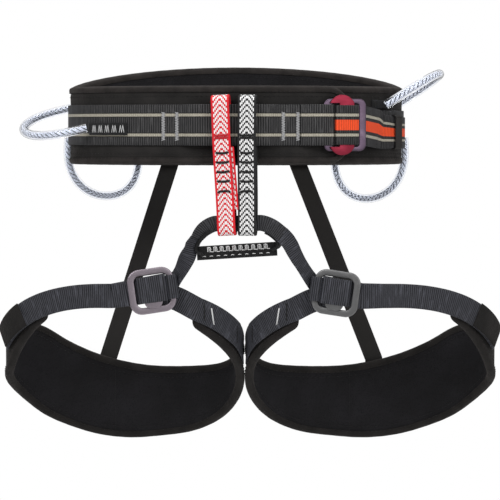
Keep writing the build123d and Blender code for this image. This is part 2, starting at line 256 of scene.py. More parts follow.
def strap_rings(path, width, thickness, lean, twist, taper):
    """Rounded-edge cross sections along a path, with their (along, across) pattern places."""
    last = len(path) - 1
    across_count = 10
    profile = []
    for j in range(across_count + 1):
        share = -1 + 2 * j / across_count
        profile.append((share * (width / 2 - thickness * 0.35), thickness / 2))
    rim = width / 2 - thickness * 0.35
    edge = [(rim + thickness * 0.3, thickness * 0.3), (rim + thickness * 0.35, 0)]
    edge += [(rim + thickness * 0.3, -thickness * 0.3)]
    profile += edge
    for j in range(across_count + 1):
        share = 1 - 2 * j / across_count
        profile.append((share * rim, -thickness / 2))
    profile += [(-x, -y) for x, y in edge]
    rings = []
    places = []
    run = 0.0
    for i, point in enumerate(path):
        if i:
            run += (path[i] - path[i - 1]).length
        along = (path[min(i + 1, last)] - path[max(i - 1, 0)]).normalized()
        turned = lean[i] if isinstance(lean, list) else lean
        across = (turned - along * turned.dot(along)).normalized()
        across = Matrix.Rotation(math.radians(twist(i / last)), 3, along) @ across
        normal = along.cross(across)
        scale = taper(i / last)
        rings.append([point + across * x * scale + normal * y for x, y in profile])
        places.append([(run * MM, x * MM) for x, y in profile])
    return rings, places


def flat(share):
    return 0.0


def even(share):
    return 1.0


def strap(name, path, width, thickness, material, lean=UP, twist=flat, taper=even):
    """A webbing strap with soft edges; its pattern runs along and across it."""
    rings, places = strap_rings(path, width, thickness, lean, twist, taper)
    vertices, faces = skin(rings)
    spots = [place for ring in places for place in ring]
    uvs = [spots[index] for face in faces for index in face]
    return mesh_object(name, vertices, faces, material, uvs)


def round_rings(path, radius, sides):
    """Round cross sections along a path that turn as little as possible."""
    last = len(path) - 1
    first = (path[1] - path[0]).normalized()
    side = first.orthogonal().normalized()
    rings = []
    places = []
    run = 0.0
    for i, point in enumerate(path):
        if i:
            run += (path[i] - path[i - 1]).length
        along = (path[min(i + 1, last)] - path[max(i - 1, 0)]).normalized()
        side = (side - along * side.dot(along)).normalized()
        other = along.cross(side)
        ring = []
        place = []
        for j in range(sides):
            turn = 2 * math.pi * j / sides
            ring.append(point + (side * math.cos(turn) + other * math.sin(turn)) * radius)
            place.append((run * MM, j / sides))
        rings.append(ring)
        places.append(place)
    return rings, places


def rod(name, path, radius, material, sides=20, bore=None):
    """A round cord along a path, or a tube if it has a bore."""
    rings, places = round_rings(path, radius, sides)
    if bore:
        inner, more = round_rings(path, bore, sides)
        rings = rings + inner[::-1]
        places = places + more[::-1]
        vertices, faces = skin(rings, closed_ends=False)
        last = (len(rings) - 1) * sides
        for j in range(sides):
            k = (j + 1) % sides
            faces.append((last + j, last + k, k, j))
    else:
        vertices, faces = skin(rings)
    spots = [place for ring in places for place in ring]
    uvs = []
    for face in faces:
        corners = [spots[index] for index in face]
        wraps = len(corners) == 4 and max(c[1] for c in corners) - min(c[1] for c in corners) > 0.5
        for u, v in corners:
            uvs.append((u, v + 1.0 if wraps and v < 0.5 else v))
    return mesh_object(name, vertices, faces, material, uvs)


def threads(name, lines, radius, material, sides=6):
    """Many short thread runs as one piece."""
    vertices = []
    faces = []
    for line in lines:
        more, joins = skin(round_rings(line, radius, sides)[0])
        faces += [tuple(index + len(vertices) for index in face) for face in joins]
        vertices += more
    return mesh_object(name, vertices, faces, material)


def plate(name, outline_rings, seat, low, high, material, bevel=0.9):
    """A flat metal plate with bevelled edges; outline_rings holds the outer edge and any window."""
    outer = outline_rings[0]
    count = len(outer)
    layers = [(low, -bevel), (low + bevel, 0), (high - bevel, 0), (high, -bevel)]
    rings = []
    for v, inset in layers:
        rings.append([seat.place(x, v, y) for x, y in offset_outline(outer, inset)])
    if len(outline_rings) > 1:
        for v, inset in reversed(layers):
            window = offset_outline(outline_rings[1], -inset)
            rings.append([seat.place(x, v, y) for x, y in window])
        vertices = [p for ring in rings for p in ring]
        total = len(rings)
        faces = []
        for i in range(total):
            for j in range(count):
                k = (j + 1) % count
                n = (i + 1) % total
                faces.append((i * count + j, i * count + k, n * count + k, n * count + j))
    else:
        vertices, faces = skin(rings)
    obj = mesh_object(name, vertices, faces, material)
    modifier = obj.modifiers.new("round", "BEVEL")
    modifier.width = 0.35 * MM
    modifier.segments = 2
    modifier.limit_method = "ANGLE"
    modifier.angle_limit = math.radians(40)
    return obj


def offset_outline(outline, inset):
    """The outline moved outwards by inset, along each point's own normal."""
    count = len(outline)
    moved = []
    for i, (x, y) in enumerate(outline):
        ax, ay = outline[i - 1]
        bx, by = outline[(i + 1) % count]
        length = math.hypot(bx - ax, by - ay)
        moved.append((x + (by - ay) / length * inset, y - (bx - ax) / length * inset))
    return moved


def rounded_box(half_u, half_w, radius, centre=(0, 0), per_corner=8):
    """Outline of a rounded rectangle, anticlockwise, evenly matched corner for corner."""
    outline = []
    for quarter in range(4):
        sx = (1, -1, -1, 1)[quarter]
        sy = (1, 1, -1, -1)[quarter]
        for i in range(per_corner + 1):
            turn = math.radians(90 * quarter + 90 * i / per_corner)
            x = centre[0] + sx * (half_u - radius) + radius * math.cos(turn)
            y = centre[1] + sy * (half_w - radius) + radius * math.sin(turn)
            outline.append((x, y))
    return outline


# ---------------------------------------------------------------- materials


class Shader:
    """Builds one procedural material on a Principled shader."""

    def __init__(self, name, roughness=0.8, metallic=0.0, sheen=0.0):
        self.material = bpy.data.materials.new(name)
        self.material.use_nodes = True
        self.tree = self.material.node_tree
        self.surface = self.tree.nodes["Principled BSDF"]
        self.set("Roughness", roughness)
        self.set("Metallic", metallic)
        self.set("Sheen Weight", sheen)
        self.set("Sheen Roughness", 0.45)
        self.set("Specular IOR Level", 0.5 if metallic else 0.22)

    def set(self, name, value):
        if hasattr(value, "links"):
            self.tree.links.new(value, self.surface.inputs[name])
        else:
            self.surface.inputs[name].default_value = value

    def node(self, kind, inputs=(), **settings):
        made = self.tree.nodes.new(kind)
        for key, value in settings.items():
            setattr(made, key, value)
        for index, value in enumerate(inputs):
            if value is None:
                continue
            if hasattr(value, "links"):
                self.tree.links.new(value, made.inputs[index])
            else:
                made.inputs[index].default_value = value
        return made

    def math(self, operation, a, b=0.0, c=0.0):
        return self.node("ShaderNodeMath", (a, b, c), operation=operation).outputs[0]

    def place(self):
        """Distances along and across a strap, in metres."""
        spot = self.node("ShaderNodeUVMap", uv_map="weave")
        split = self.node("ShaderNodeSeparateXYZ", (spot.outputs[0],))
        return split.outputs[0], split.outputs[1]

    def solid(self):
        """The place in the object, for materials with no direction."""
        return self.node("ShaderNodeTexCoord").outputs["Object"]

    def noise(self, scale, detail, vector=None):
        made = self.node("ShaderNodeTexNoise")
        self.tree.links.new(vector or self.solid(), made.inputs["Vector"])
        made.inputs["Scale"].default_value = scale
        made.inputs["Detail"].default_value = detail
        return made.outputs[0]

    def stretch(self, x, y, x_scale, y_scale):
        """A flat pattern place made from two distances, each at its own scale."""
        made = self.node(
            "ShaderNodeCombineXYZ",
            (self.math("MULTIPLY", x, x_scale), self.math("MULTIPLY", y, y_scale), 0.0),
        )
        return made.outputs[0]

    def mix(self, share, a, b):
        made = self.node("ShaderNodeMix", data_type="RGBA")
        for socket, value in ((made.inputs[0], share), (made.inputs[6], a), (made.inputs[7], b)):
            if hasattr(value, "links"):
                self.tree.links.new(value, socket)
            else:
                socket.default_value = value
        return made.outputs[2]

    def soft_step(self, value, low, high):
        made = self.node("ShaderNodeMapRange", (value, low, high, 0.0, 1.0))
        made.interpolation_type = "SMOOTHSTEP"
        return made.outputs[0]

    def band(self, distance, centre, half, soft=0.0003):
        """1 within half of the centre, falling softly to 0."""
        away = self.math("ABSOLUTE", self.math("SUBTRACT", distance, centre))
        return self.math("SUBTRACT", 1.0, self.soft_step(away, half - soft, half + soft))

    def wave(self, value, pitch):
        """A sine from 0 to 1 with the given pitch."""
        turn = self.math("MULTIPLY", value, 2 * math.pi / pitch)
        return self.math("MULTIPLY_ADD", self.math("SINE", turn), 0.5, 0.5)

    def bump(self, height, depth, strength=1.0):
        made = self.node("ShaderNodeBump")
        self.tree.links.new(height, made.inputs["Height"])
        made.inputs["Distance"].default_value = depth
        made.inputs["Strength"].default_value = strength
        self.tree.links.new(made.outputs[0], self.surface.inputs["Normal"])


def rgb(r, g, b):
    return (r, g, b, 1.0)


def softshell(name, dark, light, scale=1.0):
    """Brushed, slightly mottled stretch cloth with a fine knit."""
    s = Shader(name, roughness=0.88, sheen=0.07)
    mottle = s.noise(38 * scale, 4.0)
    s.set("Base Color", s.mix(s.soft_step(mottle, 0.3, 0.75), rgb(*dark), rgb(*light)))
    s.set("Sheen Tint", rgb(0.75, 0.68, 0.64))
    knit = s.noise(2600, 1.0)
    dimple = s.noise(160, 3.0)
    relief = s.math("MULTIPLY_ADD", dimple, 1.6, knit)
    s.bump(s.math("MULTIPLY_ADD", s.noise(46, 3.0), 7.0, relief), 0.0004, 0.7)
    return s.material


def mesh_lining(name):
    """Fine black spacer mesh with small holes, painted darker inside as shade."""
    s = Shader(name, roughness=0.9, sheen=0.02)
    cells = s.node("ShaderNodeTexVoronoi", feature="F1")
    s.tree.links.new(s.solid(), cells.inputs["Vector"])
    cells.inputs["Scale"].default_value = 620
    holes = s.soft_step(cells.outputs["Distance"], 0.18, 0.42)
    cloudy = s.noise(24, 5.0)
    dark = rgb(0.0052, 0.0048, 0.0055)
    light = rgb(0.0092, 0.0086, 0.0102)
    face = s.mix(s.soft_step(cloudy, 0.3, 0.7), dark, light)
    # The holes are painted near-black as painted shade inside the mesh's recesses.
    s.set("Base Color", s.mix(holes, rgb(0.002, 0.002, 0.003), face))
    s.set("Sheen Tint", rgb(0.8, 0.8, 0.9))
    s.bump(holes, 0.0005, 0.6)
    return s.material


STRIPE = (0.42, 0.39, 0.32)
STRIPE_PLACES = (-0.0103, 0.0103)


def webbing(name, ground, groove_shade, stripe=None, centre=None, pitch=0.0021):
    """Ribbed nylon webbing with painted shade in the rib grooves, with optional stripes and an optional
    coloured middle.
    """
    s = Shader(name, roughness=0.55, sheen=0.04)
    along, across = s.place()
    drift = s.noise(900, 1.0, s.stretch(along, across, 1.0, 0.15))
    run = s.math("MULTIPLY_ADD", s.math("SUBTRACT", drift, 0.5), 0.0004, along)
    rib = s.wave(run, pitch)
    yarn = s.wave(across, 0.00095)
    wear = s.noise(420, 3.0, s.stretch(along, across, 1.0, 0.12))
    # The rib grooves are painted in a much darker colour as painted shade between the ribs.
    face = s.mix(s.soft_step(rib, 0.18, 0.72), rgb(*groove_shade), rgb(*ground))
    worn = s.math("MULTIPLY", s.soft_step(wear, 0.52, 0.72), 0.55)
    face = s.mix(worn, face, rgb(*[min(1, c * 2.1) for c in ground]))
    if centre:
        # The orange middle is also painted darker in its rib grooves as painted shade.
        middle = s.mix(s.soft_step(rib, 0.05, 0.5), rgb(*[c * 0.62 for c in centre]), rgb(*centre))
        face = s.mix(s.band(across, 0.0, 0.0054), face, middle)
    if stripe:
        twist = s.wave(s.math("MULTIPLY_ADD", across, 1.4, along), 0.0016)
        # The darker turns of the twisted cable are painted shade between its strands.
        cable = s.mix(s.soft_step(twist, 0.1, 0.6), rgb(*[c * 0.45 for c in stripe]), rgb(*stripe))
        for middle in STRIPE_PLACES:
            # A darker band just wider than each stripe is painted shade along the raised stripe's
            # edges.
            face = s.mix(s.band(across, middle, 0.0023), face, rgb(*[c * 0.5 for c in groove_shade]))
            face = s.mix(s.band(across, middle, 0.0015), face, cable)
    s.set("Base Color", face)
    s.set("Sheen Tint", rgb(0.8, 0.82, 0.9))
    height = s.math("MULTIPLY_ADD", yarn, 0.25, rib)
    if stripe:
        for middle in STRIPE_PLACES:
            height = s.math("ADD", height, s.math("MULTIPLY", s.band(across, middle, 0.0015), 0.9))
    s.bump(height, 0.00045, 0.9)
    return s.material


def jacquard(name, ground, ink):
    """Loop webbing with white chevrons woven as stepped floats between plain selvedges."""
    rim = 0.0073
    s = Shader(name, roughness=0.6, sheen=0.03)
    along, across = s.place()
    away = s.math("ABSOLUTE", across)
    column = 0.00147
    lane = s.math("DIVIDE", away, column)
    step = s.math("FLOOR", lane)
    in_lane = s.math("ABSOLUTE", s.math("SUBTRACT", s.math("FRACT", lane), 0.5))
    climb = s.math("MULTIPLY_ADD", step, 0.0018, along)
    phase = s.math("FRACT", s.math("DIVIDE", climb, 0.0056))
    float_on = s.band(phase, 0.5, 0.30, 0.05)
    in_column = s.math("SUBTRACT", 1.0, s.soft_step(in_lane, 0.38, 0.49))
    inside = s.math("SUBTRACT", 1.0, s.soft_step(away, rim - 0.0002, rim + 0.0002))
    white = s.math("MULTIPLY", s.math("MULTIPLY", float_on, in_column), inside)
    rib = s.wave(along, 0.0012)
    # The rib troughs are painted darker as painted shade between the ribs.
    cloth = s.mix(rib, rgb(*[c * 0.72 for c in ground]), rgb(*ground))
    s.set("Base Color", s.mix(white, cloth, rgb(*ink)))
    s.set("Sheen Tint", rgb(0.95, 0.9, 0.9))
    height = s.math("MULTIPLY_ADD", white, 1.3, s.math("MULTIPLY", rib, 0.5))
    s.bump(height, 0.0004, 0.85)
    return s.material


def elastic(name, dark, light):
    """Smooth woven elastic with fine lengthwise cords."""
    s = Shader(name, roughness=0.7, sheen=0.05)
    along, across = s.place()
    cord = s.wave(across, 0.0011)
    weft = s.wave(along, 0.0009)
    # Colour is darker between cords and wefts as painted shade in the weave's grooves.
    s.set("Base Color", s.mix(s.math("MULTIPLY", cord, weft), rgb(*dark), rgb(*light)))
    s.set("Sheen Tint", rgb(0.8, 0.74, 0.7))
    s.bump(s.math("MULTIPLY_ADD", weft, 0.5, cord), 0.00025, 0.7)
    return s.material


def thread(name, colour):
    s = Shader(name, roughness=0.6, sheen=0.03)
    fibre = s.noise(3200, 1.0)
    s.set("Base Color", s.mix(fibre, rgb(*[c * 0.7 for c in colour]), rgb(*colour)))
    s.bump(fibre, 0.0002, 0.5)
    return s.material


def anodised(name, colour, roughness):
    """Satin anodised alloy with faint brushing and rubbed, lighter spots."""
    s = Shader(name, roughness=roughness, metallic=1.0)
    split = s.node("ShaderNodeSeparateXYZ", (s.solid(),))
    brushed = s.noise(900, 2.0, s.stretch(split.outputs[0], split.outputs[2], 0.12, 1.0))
    rubbed = s.noise(70, 4.0)
    bright = rgb(*[min(1.0, c * 1.35 + 0.02) for c in colour])
    s.set("Base Color", s.mix(s.soft_step(rubbed, 0.5, 0.8), rgb(*colour), bright))
    s.set("Roughness", s.math("MULTIPLY_ADD", brushed, 0.16, roughness - 0.06))
    s.bump(brushed, 0.00006, 0.35)
    return s.material


def clear_plastic(name):
    """Soft clear tube with a faint blue cast and a slightly uneven skin."""
    s = Shader(name, roughness=0.12)
    s.set("Base Color", rgb(0.91, 0.93, 0.98))
    s.set("Transmission Weight", 1.0)
    s.set("IOR", 1.22)
    s.set("Roughness", s.math("MULTIPLY_ADD", s.noise(120, 3.0), 0.08, 0.02))
    s.bump(s.noise(220, 2.0), 0.0002, 0.25)
    return s.material


def braid(name):
    """White braided cord, painted grey in the grooves between strands as shade, with dark chained
    flecks.
    """
    s = Shader(name, roughness=0.6, sheen=0.2)
    along, around = s.place()
    lanes = s.math("MULTIPLY", around, 4.0)
    step = s.math("FLOOR", lanes)
    parity = s.math("PINGPONG", step, 1.0)
    climb = s.math("MULTIPLY_ADD", parity, 0.0028, along)
    lean = s.math("MULTIPLY", s.math("SUBTRACT", s.math("FRACT", lanes), 0.5), 0.0050)
    slant = s.math("MULTIPLY", lean, s.math("MULTIPLY_ADD", parity, 2.0, -1.0))
    phase = s.math("FRACT", s.math("DIVIDE", s.math("ADD", climb, slant), 0.0056))
    dark = s.band(phase, 0.5, 0.12, 0.06)
    strand = s.wave(s.math("ADD", along, slant), 0.0023)
    # Each strand fades to grey in its troughs as painted shade between strands.
    white = s.mix(strand, rgb(0.60, 0.62, 0.67), rgb(0.90, 0.92, 0.95))
    s.set("Base Color", s.mix(dark, white, rgb(0.012, 0.014, 0.022)))
    s.bump(strand, 0.0006, 0.9)
    return s.material


def pale_floor(name):
    s = Shader(name, roughness=0.9)
    s.set("Base Color", rgb(0.93, 0.93, 0.93))
    return s.material


COVER = softshell("waist_cloth", (0.0085, 0.0078, 0.0075), (0.017, 0.0155, 0.0148))
BINDING = softshell("edge_tape", (0.0125, 0.0105, 0.0098), (0.024, 0.0205, 0.019), scale=2.0)
LEG_BINDING = softshell("leg_edge_tape", (0.0065, 0.0056, 0.0052), (0.0125, 0.0108, 0.01), scale=2.0)
LEG_COVER = softshell("leg_cloth", (0.0055, 0.0050, 0.0048), (0.0115, 0.0103, 0.0098))
LINING = mesh_lining("mesh_lining")
BLACK_WEB = webbing(
    "black_webbing", (0.042, 0.041, 0.042), (0.004, 0.004, 0.0045), pitch=0.0025, stripe=STRIPE
)
ORANGE_WEB = webbing(
    "orange_webbing", (0.030, 0.029, 0.030), (0.004, 0.004, 0.0045), pitch=0.0025,
    stripe=STRIPE, centre=(0.80, 0.072, 0.014),
)
LEG_WEB = webbing("charcoal_webbing", (0.042, 0.043, 0.052), (0.006, 0.0062, 0.008))
BRIDGE_WEB = webbing("bridge_webbing", (0.034, 0.034, 0.038), (0.006, 0.006, 0.0075))
TAB_WEB = webbing("tab_webbing", (0.009, 0.009, 0.0095), (0.003, 0.003, 0.003), pitch=0.0012)
RED_LOOP = jacquard("red_loop_webbing", (0.70, 0.012, 0.022), (0.83, 0.80, 0.80))
BLACK_LOOP = jacquard("black_loop_webbing", (0.013, 0.013, 0.014), (0.80, 0.80, 0.80))
ELASTIC = elastic("black_elastic", (0.009, 0.008, 0.0075), (0.021, 0.019, 0.0175))
WHITE_THREAD = thread("white_thread", (0.72, 0.72, 0.72))
GREY_THREAD = thread("grey_thread", (0.40, 0.40, 0.41))
BLACK_THREAD = thread("black_thread", (0.012, 0.012, 0.012))
SEAM_THREAD = thread("seam_thread", (0.013, 0.012, 0.012))
RED_THREAD = thread("red_thread", (0.55, 0.02, 0.03))
PURPLE_METAL = anodised("purple_grey_alloy", (0.105, 0.075, 0.108), 0.44)
LILAC_METAL = anodised("lilac_grey_alloy", (0.27, 0.235, 0.265), 0.40)
GREY_METAL = anodised("grey_alloy", (0.17, 0.17, 0.172), 0.42)
RED_METAL = anodised("red_alloy", (0.21, 0.022, 0.040), 0.46)
CLEAR = clear_plastic("clear_tube")
BRAID = braid("braided_cord")

# ---------------------------------------------------------------- padded rings


def belt_top(y):
    return BELT_TOP + (BELT_TOP_BACK - BELT_TOP) * (max(0.0, y) / WAIST_B) ** 1.3


def belt_bottom(y):
    if y > 0:
        return BELT_BOTTOM + (BELT_BOTTOM_BACK - BELT_BOTTOM) * y / WAIST_B
    return BELT_BOTTOM + (BELT_BOTTOM_FRONT - BELT_BOTTOM) * -y / LAP_B


def belt_stations():
    """Round the belt from the rounded lap end, past the left side and the back, to the underlap."""
    found = []
    for distance in (0, 0.5, 1.5, 3, 5, 8, 12, 16, 20, 25, 31, 38):
        angle = LAP.angle_at(LAP_END_X - distance)
        y = LAP.point(angle).y
        round_off = math.sqrt(max(0.0, 1 - (1 - min(1.0, (distance + 0.4) / 27)) ** 2))
        found.append((LAP, angle, belt_top(y) * round_off, belt_bottom(y) * round_off))
    for angle in steps(LAP.angle_at(LAP_END_X - 42), -180, 70):
        y = LAP.point(angle).y
        found.append((LAP, angle, belt_top(y), belt_bottom(y)))
    for angle in steps(178, REAR.angle_at(UNDERLAP_X), 120):
        y = REAR.point(angle).y
        found.append((REAR, angle, belt_top(y), belt_bottom(y)))
    return found


class Wall:
    """A padded ring rolled out flat: distance round it, height, and distance from the wearer."""

    def __init__(self, stations):
        self.points = [oval.point(angle) for oval, angle, top, bottom in stations]
        self.normals = [oval.normal(angle) for oval, angle, top, bottom in stations]
        self.angles = [angle for oval, angle, top, bottom in stations]
        self.heights = [(top, bottom) for oval, angle, top, bottom in stations]
        self.run = [0.0]
        for a, b in zip(self.points, self.points[1:]):
            self.run.append(self.run[-1] + (b - a).length)
        self.length = self.run[-1]

    def find(self, s):
        """The station before a distance, and the share of the way to the next."""
        k = min(max(bisect.bisect_right(self.run, s) - 1, 0), len(self.run) - 2)
        return k, (s - self.run[k]) / (self.run[k + 1] - self.run[k])

    def at(self, s, z, offset=0.0):
        k, share = self.find(s)
        base = self.points[k].lerp(self.points[k + 1], share)
        normal = self.normals[k].lerp(self.normals[k + 1], share).normalized()
        return base + normal * offset + UP * z

    def angle(self, s):
        k, share = self.find(s)
        return self.angles[k] + (self.angles[k + 1] - self.angles[k]) * share

    def distance(self, x, start, end):
        """Where the wall crosses a given x between two distances."""
        for s in steps(start, end, 400):
            if (self.at(s, 0).x - x) * (self.at(start, 0).x - x) <= 0:
                return s
        return end

    def top(self, s):
        k, share = self.find(min(max(s, 0.0), self.length))
        return self.heights[k][0] + (self.heights[k + 1][0] - self.heights[k][0]) * share

    def bottom(self, s):
        k, share = self.find(min(max(s, 0.0), self.length))
        return self.heights[k][1] + (self.heights[k + 1][1] - self.heights[k][1]) * share

    def height(self, s, share):
        """Height at a share of the way down from the top edge."""
        return self.top(s) + (self.bottom(s) - self.top(s)) * share


def pad(name, wall, thickness, rows, outside, inside, held, cap):
    """A foam pad on a wall: even quads, filled by cloth pressure, held where it is sewn."""
    inset = 1.2
    margin = inset / 60
    count = round((wall.length - 2 * inset) / PAD_QUAD)
    rings = []
    spots = []
    pins = []
    for s in steps(inset, wall.length - inset, count):
        ring = []
        edge = min(1.0, min(s, wall.length - s) / 6)
        heights = [wall.height(s, margin + (1 - 2 * margin) * row / rows) for row in range(rows + 1)]
        for row, z in enumerate(heights):
            ring.append((z, -thickness * (0.3 if row in (0, rows) else 0.0), row, True))
        for row, z in reversed(list(enumerate(heights))):
            ring.append((z, -thickness * (0.85 if row in (0, rows) else 1.0), row, False))
        rings.append([wall.at(s, z, offset) for z, offset, row, outer in ring])
        spots.append([(s * MM, z * MM) for z, offset, row, outer in ring])
        for z, offset, row, outer in ring:
            rim = row <= 1 or row >= rows - 1 or edge < 0.9
            pins.append(1.0 if rim or held(s, z, row, outer) else 0.0)
    vertices, faces = skin(rings)
    flat_spots = [spot for ring in spots for spot in ring]
    uvs = [flat_spots[index] for face in faces for index in face]
    size = len(rings[0])
    slots = []
    for face in faces:
        column = face[0] % size
        slots.append(0 if column < rows or len(face) > 4 else 1)
    obj = mesh_object(name, vertices, faces, outside, uvs, slots, (inside,))
    inflate(obj, pins, cap)
    modifier = obj.modifiers.new("even", "SUBSURF")
    modifier.levels = 1
    modifier.render_levels = 1
    return obj


def inflate(obj, pins, cap):
    """Cloth pressure fills the pad like foam; held stitches and edges stay where they are."""
    group = obj.vertex_groups.new(name="held")
    for index, weight in enumerate(pins):
        group.add([index], weight, "REPLACE")
    modifier = obj.modifiers.new("fill", "CLOTH")
    modifier.settings.use_pressure = True
    modifier.settings.uniform_pressure_force = 4.0
    modifier.settings.vertex_group_mass = "held"
    modifier.settings.effector_weights.gravity = 0.0
    modifier.settings.mass = 0.3
    modifier.settings.quality = 5
    modifier.settings.tension_stiffness = 12
    modifier.settings.compression_stiffness = 12
    modifier.settings.bending_stiffness = 0.6
    modifier.point_cache.frame_start = 1
    modifier.point_cache.frame_end = 20
    for step in range(1, 21):
        bpy.context.scene.frame_set(step)
        bpy.context.view_layer.update()
    filled = obj.evaluated_get(bpy.context.evaluated_depsgraph_get())
    moved = [vertex.co.copy() for vertex in filled.data.vertices]
    obj.modifiers.remove(modifier)
    for vertex, place in zip(obj.data.vertices, moved):
        shift = place - vertex.co
        if shift.length > cap * MM:
            shift = shift.normalized() * (cap * MM)
        vertex.co = vertex.co + shift
    bpy.context.scene.frame_set(1)


def outline(wall):
    """The pad's edge as (distance, height) points round it, with rounded corners."""
    top = [Vector((s, wall.top(s), 0)) for s in steps(0, wall.length, 400)]
    bottom = [Vector((s, wall.bottom(s), 0)) for s in steps(wall.length, 0, 400)]
    closed = resample(top + bottom + [top[0]], 2.5)[:-1]
    for _ in range(3):
        before = closed[-1:] + closed[:-1]
        after = closed[1:] + closed[:1]
        closed = [(a + b * 2 + c) / 4 for a, b, c in zip(before, closed, after)]
    return closed


def tape(name, wall, thickness, width, material):
    """Binding tape folded over the edge of a pad and stitched on both faces."""
    edge = outline(wall)
    count = len(edge)
    section = [
        (width, 0.15), (width * 0.92, 0.75), (width * 0.5, 1.15), (1.4, 1.0), (-0.4, -0.4),
        (-1.1, -thickness / 2),
        (-0.4, -thickness + 0.4), (1.4, -thickness - 1.0), (width * 0.5, -thickness - 1.15),
        (width * 0.92, -thickness - 0.75), (width, -thickness - 0.15),
    ]
    rings = []
    spots = []
    run = 0.0
    for i, point in enumerate(edge):
        before = edge[i - 1]
        after = edge[(i + 1) % count]
        along = (after - before).normalized()
        inward = Vector((along.y, -along.x, 0))
        run += (point - before).length if i else 0.0
        ripple = 0.12 * math.sin(run * 1.1) + 0.1 * math.sin(run * 0.37 + 1.0)
        ring = []
        for inset, offset in section:
            spot = point + inward * (inset + ripple * 0.5)
            lift = ripple * (0.5 if offset > 0 else -0.5)
            ring.append(wall.at(spot.x, spot.y, offset + lift))
        rings.append(ring)
        spots.append([(run * MM, k * width * 0.2 * MM) for k in range(len(section))])
    size = len(section)
    vertices = [v for ring in rings for v in ring]
    faces = []
    for i in range(count):
        n = (i + 1) % count
        for j in range(size - 1):
            faces.append((i * size + j, n * size + j, n * size + j + 1, i * size + j + 1))
    flat_spots = [spot for ring in spots for spot in ring]
    uvs = [flat_spots[index] for face in faces for index in face]
    obj = mesh_object(name, vertices, faces, material, uvs)
    modifier = obj.modifiers.new("cloth", "SOLIDIFY")
    modifier.thickness = 0.35 * MM
    modifier.offset = 0
    modifier = obj.modifiers.new("even", "SUBSURF")
    modifier.levels = 1
    modifier.render_levels = 1
    return obj


def edge_stitches(wall, inset, offset):
    """Running stitches that follow the edge of a pad at an even distance."""
    edge = outline(wall)
    count = len(edge)
    lines = []
    side = 1 if offset > 0 else -1
    for i in range(0, count, 2):
        after = edge[(i + 1) % count]
        along = (after - edge[i - 1]).normalized()
        inward = Vector((along.y, -along.x, 0))
        line = []
        for share, lift in ((0, -0.1), (0.5, 0.22), (1, -0.1)):
            spot = edge[i].lerp(after, share) + inward * inset
            line.append(wall.at(spot.x, spot.y, offset + lift * side))
        lines.append(line)
    return lines


def zigzag(surface, start, end, low, high, count):
    """One thread that zig-zags across a bar, on a surface given by (along, across)."""
    line = []
    pitch = (end - start) / (count * 2)
    for i in range(count * 2):
        here, there = (high, low) if i % 2 else (low, high)
        for share in (0.0, 0.2, 0.8):
            line.append(surface(start + pitch * (i + share), here + (there - here) * share))
    line.append(surface(end, low))
    return line


def mirrored(objects):
    for obj in objects:
        for vertex in obj.data.vertices:
            vertex.co.x = -vertex.co.x
        obj.data.flip_normals()


def bend(path, move):
    """The path with each point moved by a function of its share of the way."""
    last = len(path) - 1
    return [point + move(i / last) for i, point in enumerate(path)]


# ---------------------------------------------------------------- waist belt


def lap_point(x, offset, z=0.0):
    return LAP.point(LAP.angle_at(x), offset, z)


def bulge(x):
    """How far the webbing stands off the pad between its inner bar tacks."""
    ramp = 16.0
    from_left = min(1.0, max(0.0, (x - TACK_X[1] - 2) / ramp))
    from_right = min(1.0, max(0.0, (TACK_X[2] - 2 - x) / ramp))
    rise = min(from_left, from_right)
    return BULGE * rise * rise * (3 - 2 * rise)


def waist_pad():
    wall = Wall(belt_stations())
    front_end = wall.distance(-155, 0, 420)

    def held(s, z, row, outer):
        if row in (2, 15):
            return True
        if not outer:
            return False
        angle = wall.angle(s)
        under_webbing = s < front_end and abs(z) < 25
        under_strap = s > 700 and angle < 8 and abs(z + 3) < 27
        return under_webbing or under_strap

    body = pad("waist_pad", wall, BELT_PAD_T, 17, COVER, LINING, held, 2.6)
    rim = tape("waist_binding", wall, BELT_PAD_T, 6.0, BINDING)
    lines = edge_stitches(wall, 10.0, 0.25) + edge_stitches(wall, 5.2, 0.95)
    lines += edge_stitches(wall, 10.0, -BELT_PAD_T - 0.25)
    seams = threads("waist_seams", lines, 0.3, SEAM_THREAD, sides=4)
    return body, rim, seams


def webbing_path(seat):
    inner = PLY_GAP + WEBBING_T / 2
    outer = inner + WEBBING_T + PLY_GAP
    path = [LAP.point(angle, inner) for angle in steps(-180, LAP.angle_at(-152), 26)]
    path += [lap_point(x, inner + bulge(x)) for x in steps(-150, 74, 112)]
    path += rounded(
        [
            lap_point(76, inner), seat.place(-22, 3.3), seat.place(-12.5, 3.25),
            seat.place(-12.6, 9.4), seat.place(-27.5, 9.4), lap_point(72, outer + 0.1),
            lap_point(67, outer + 0.1),
        ],
        [8, 2.4, 2.4, 4, 8],
    )
    return path


def adjust_path(seat):
    under = [REAR.point(angle, 1.3, ADJUST_Z) for angle in steps(-3, -31, 28)]
    turn = rounded(
        [
            REAR.point(-32, 1.4, ADJUST_Z), seat.place(26, 1.2, -1), seat.place(-9.9, 1.2),
            seat.place(-9.9, 11.5), seat.place(14.6, 11.5), seat.place(14.6, 3.5),
            seat.place(26, 3.6, -1), REAR.point(-32, 4.1, ADJUST_Z),
        ],
        [12, 2.4, 2.4, 2.2, 2.2, 12],
    )
    over = [REAR.point(angle, 4.0, ADJUST_Z) for angle in steps(-31, -9, 26)]
    return under, turn, over


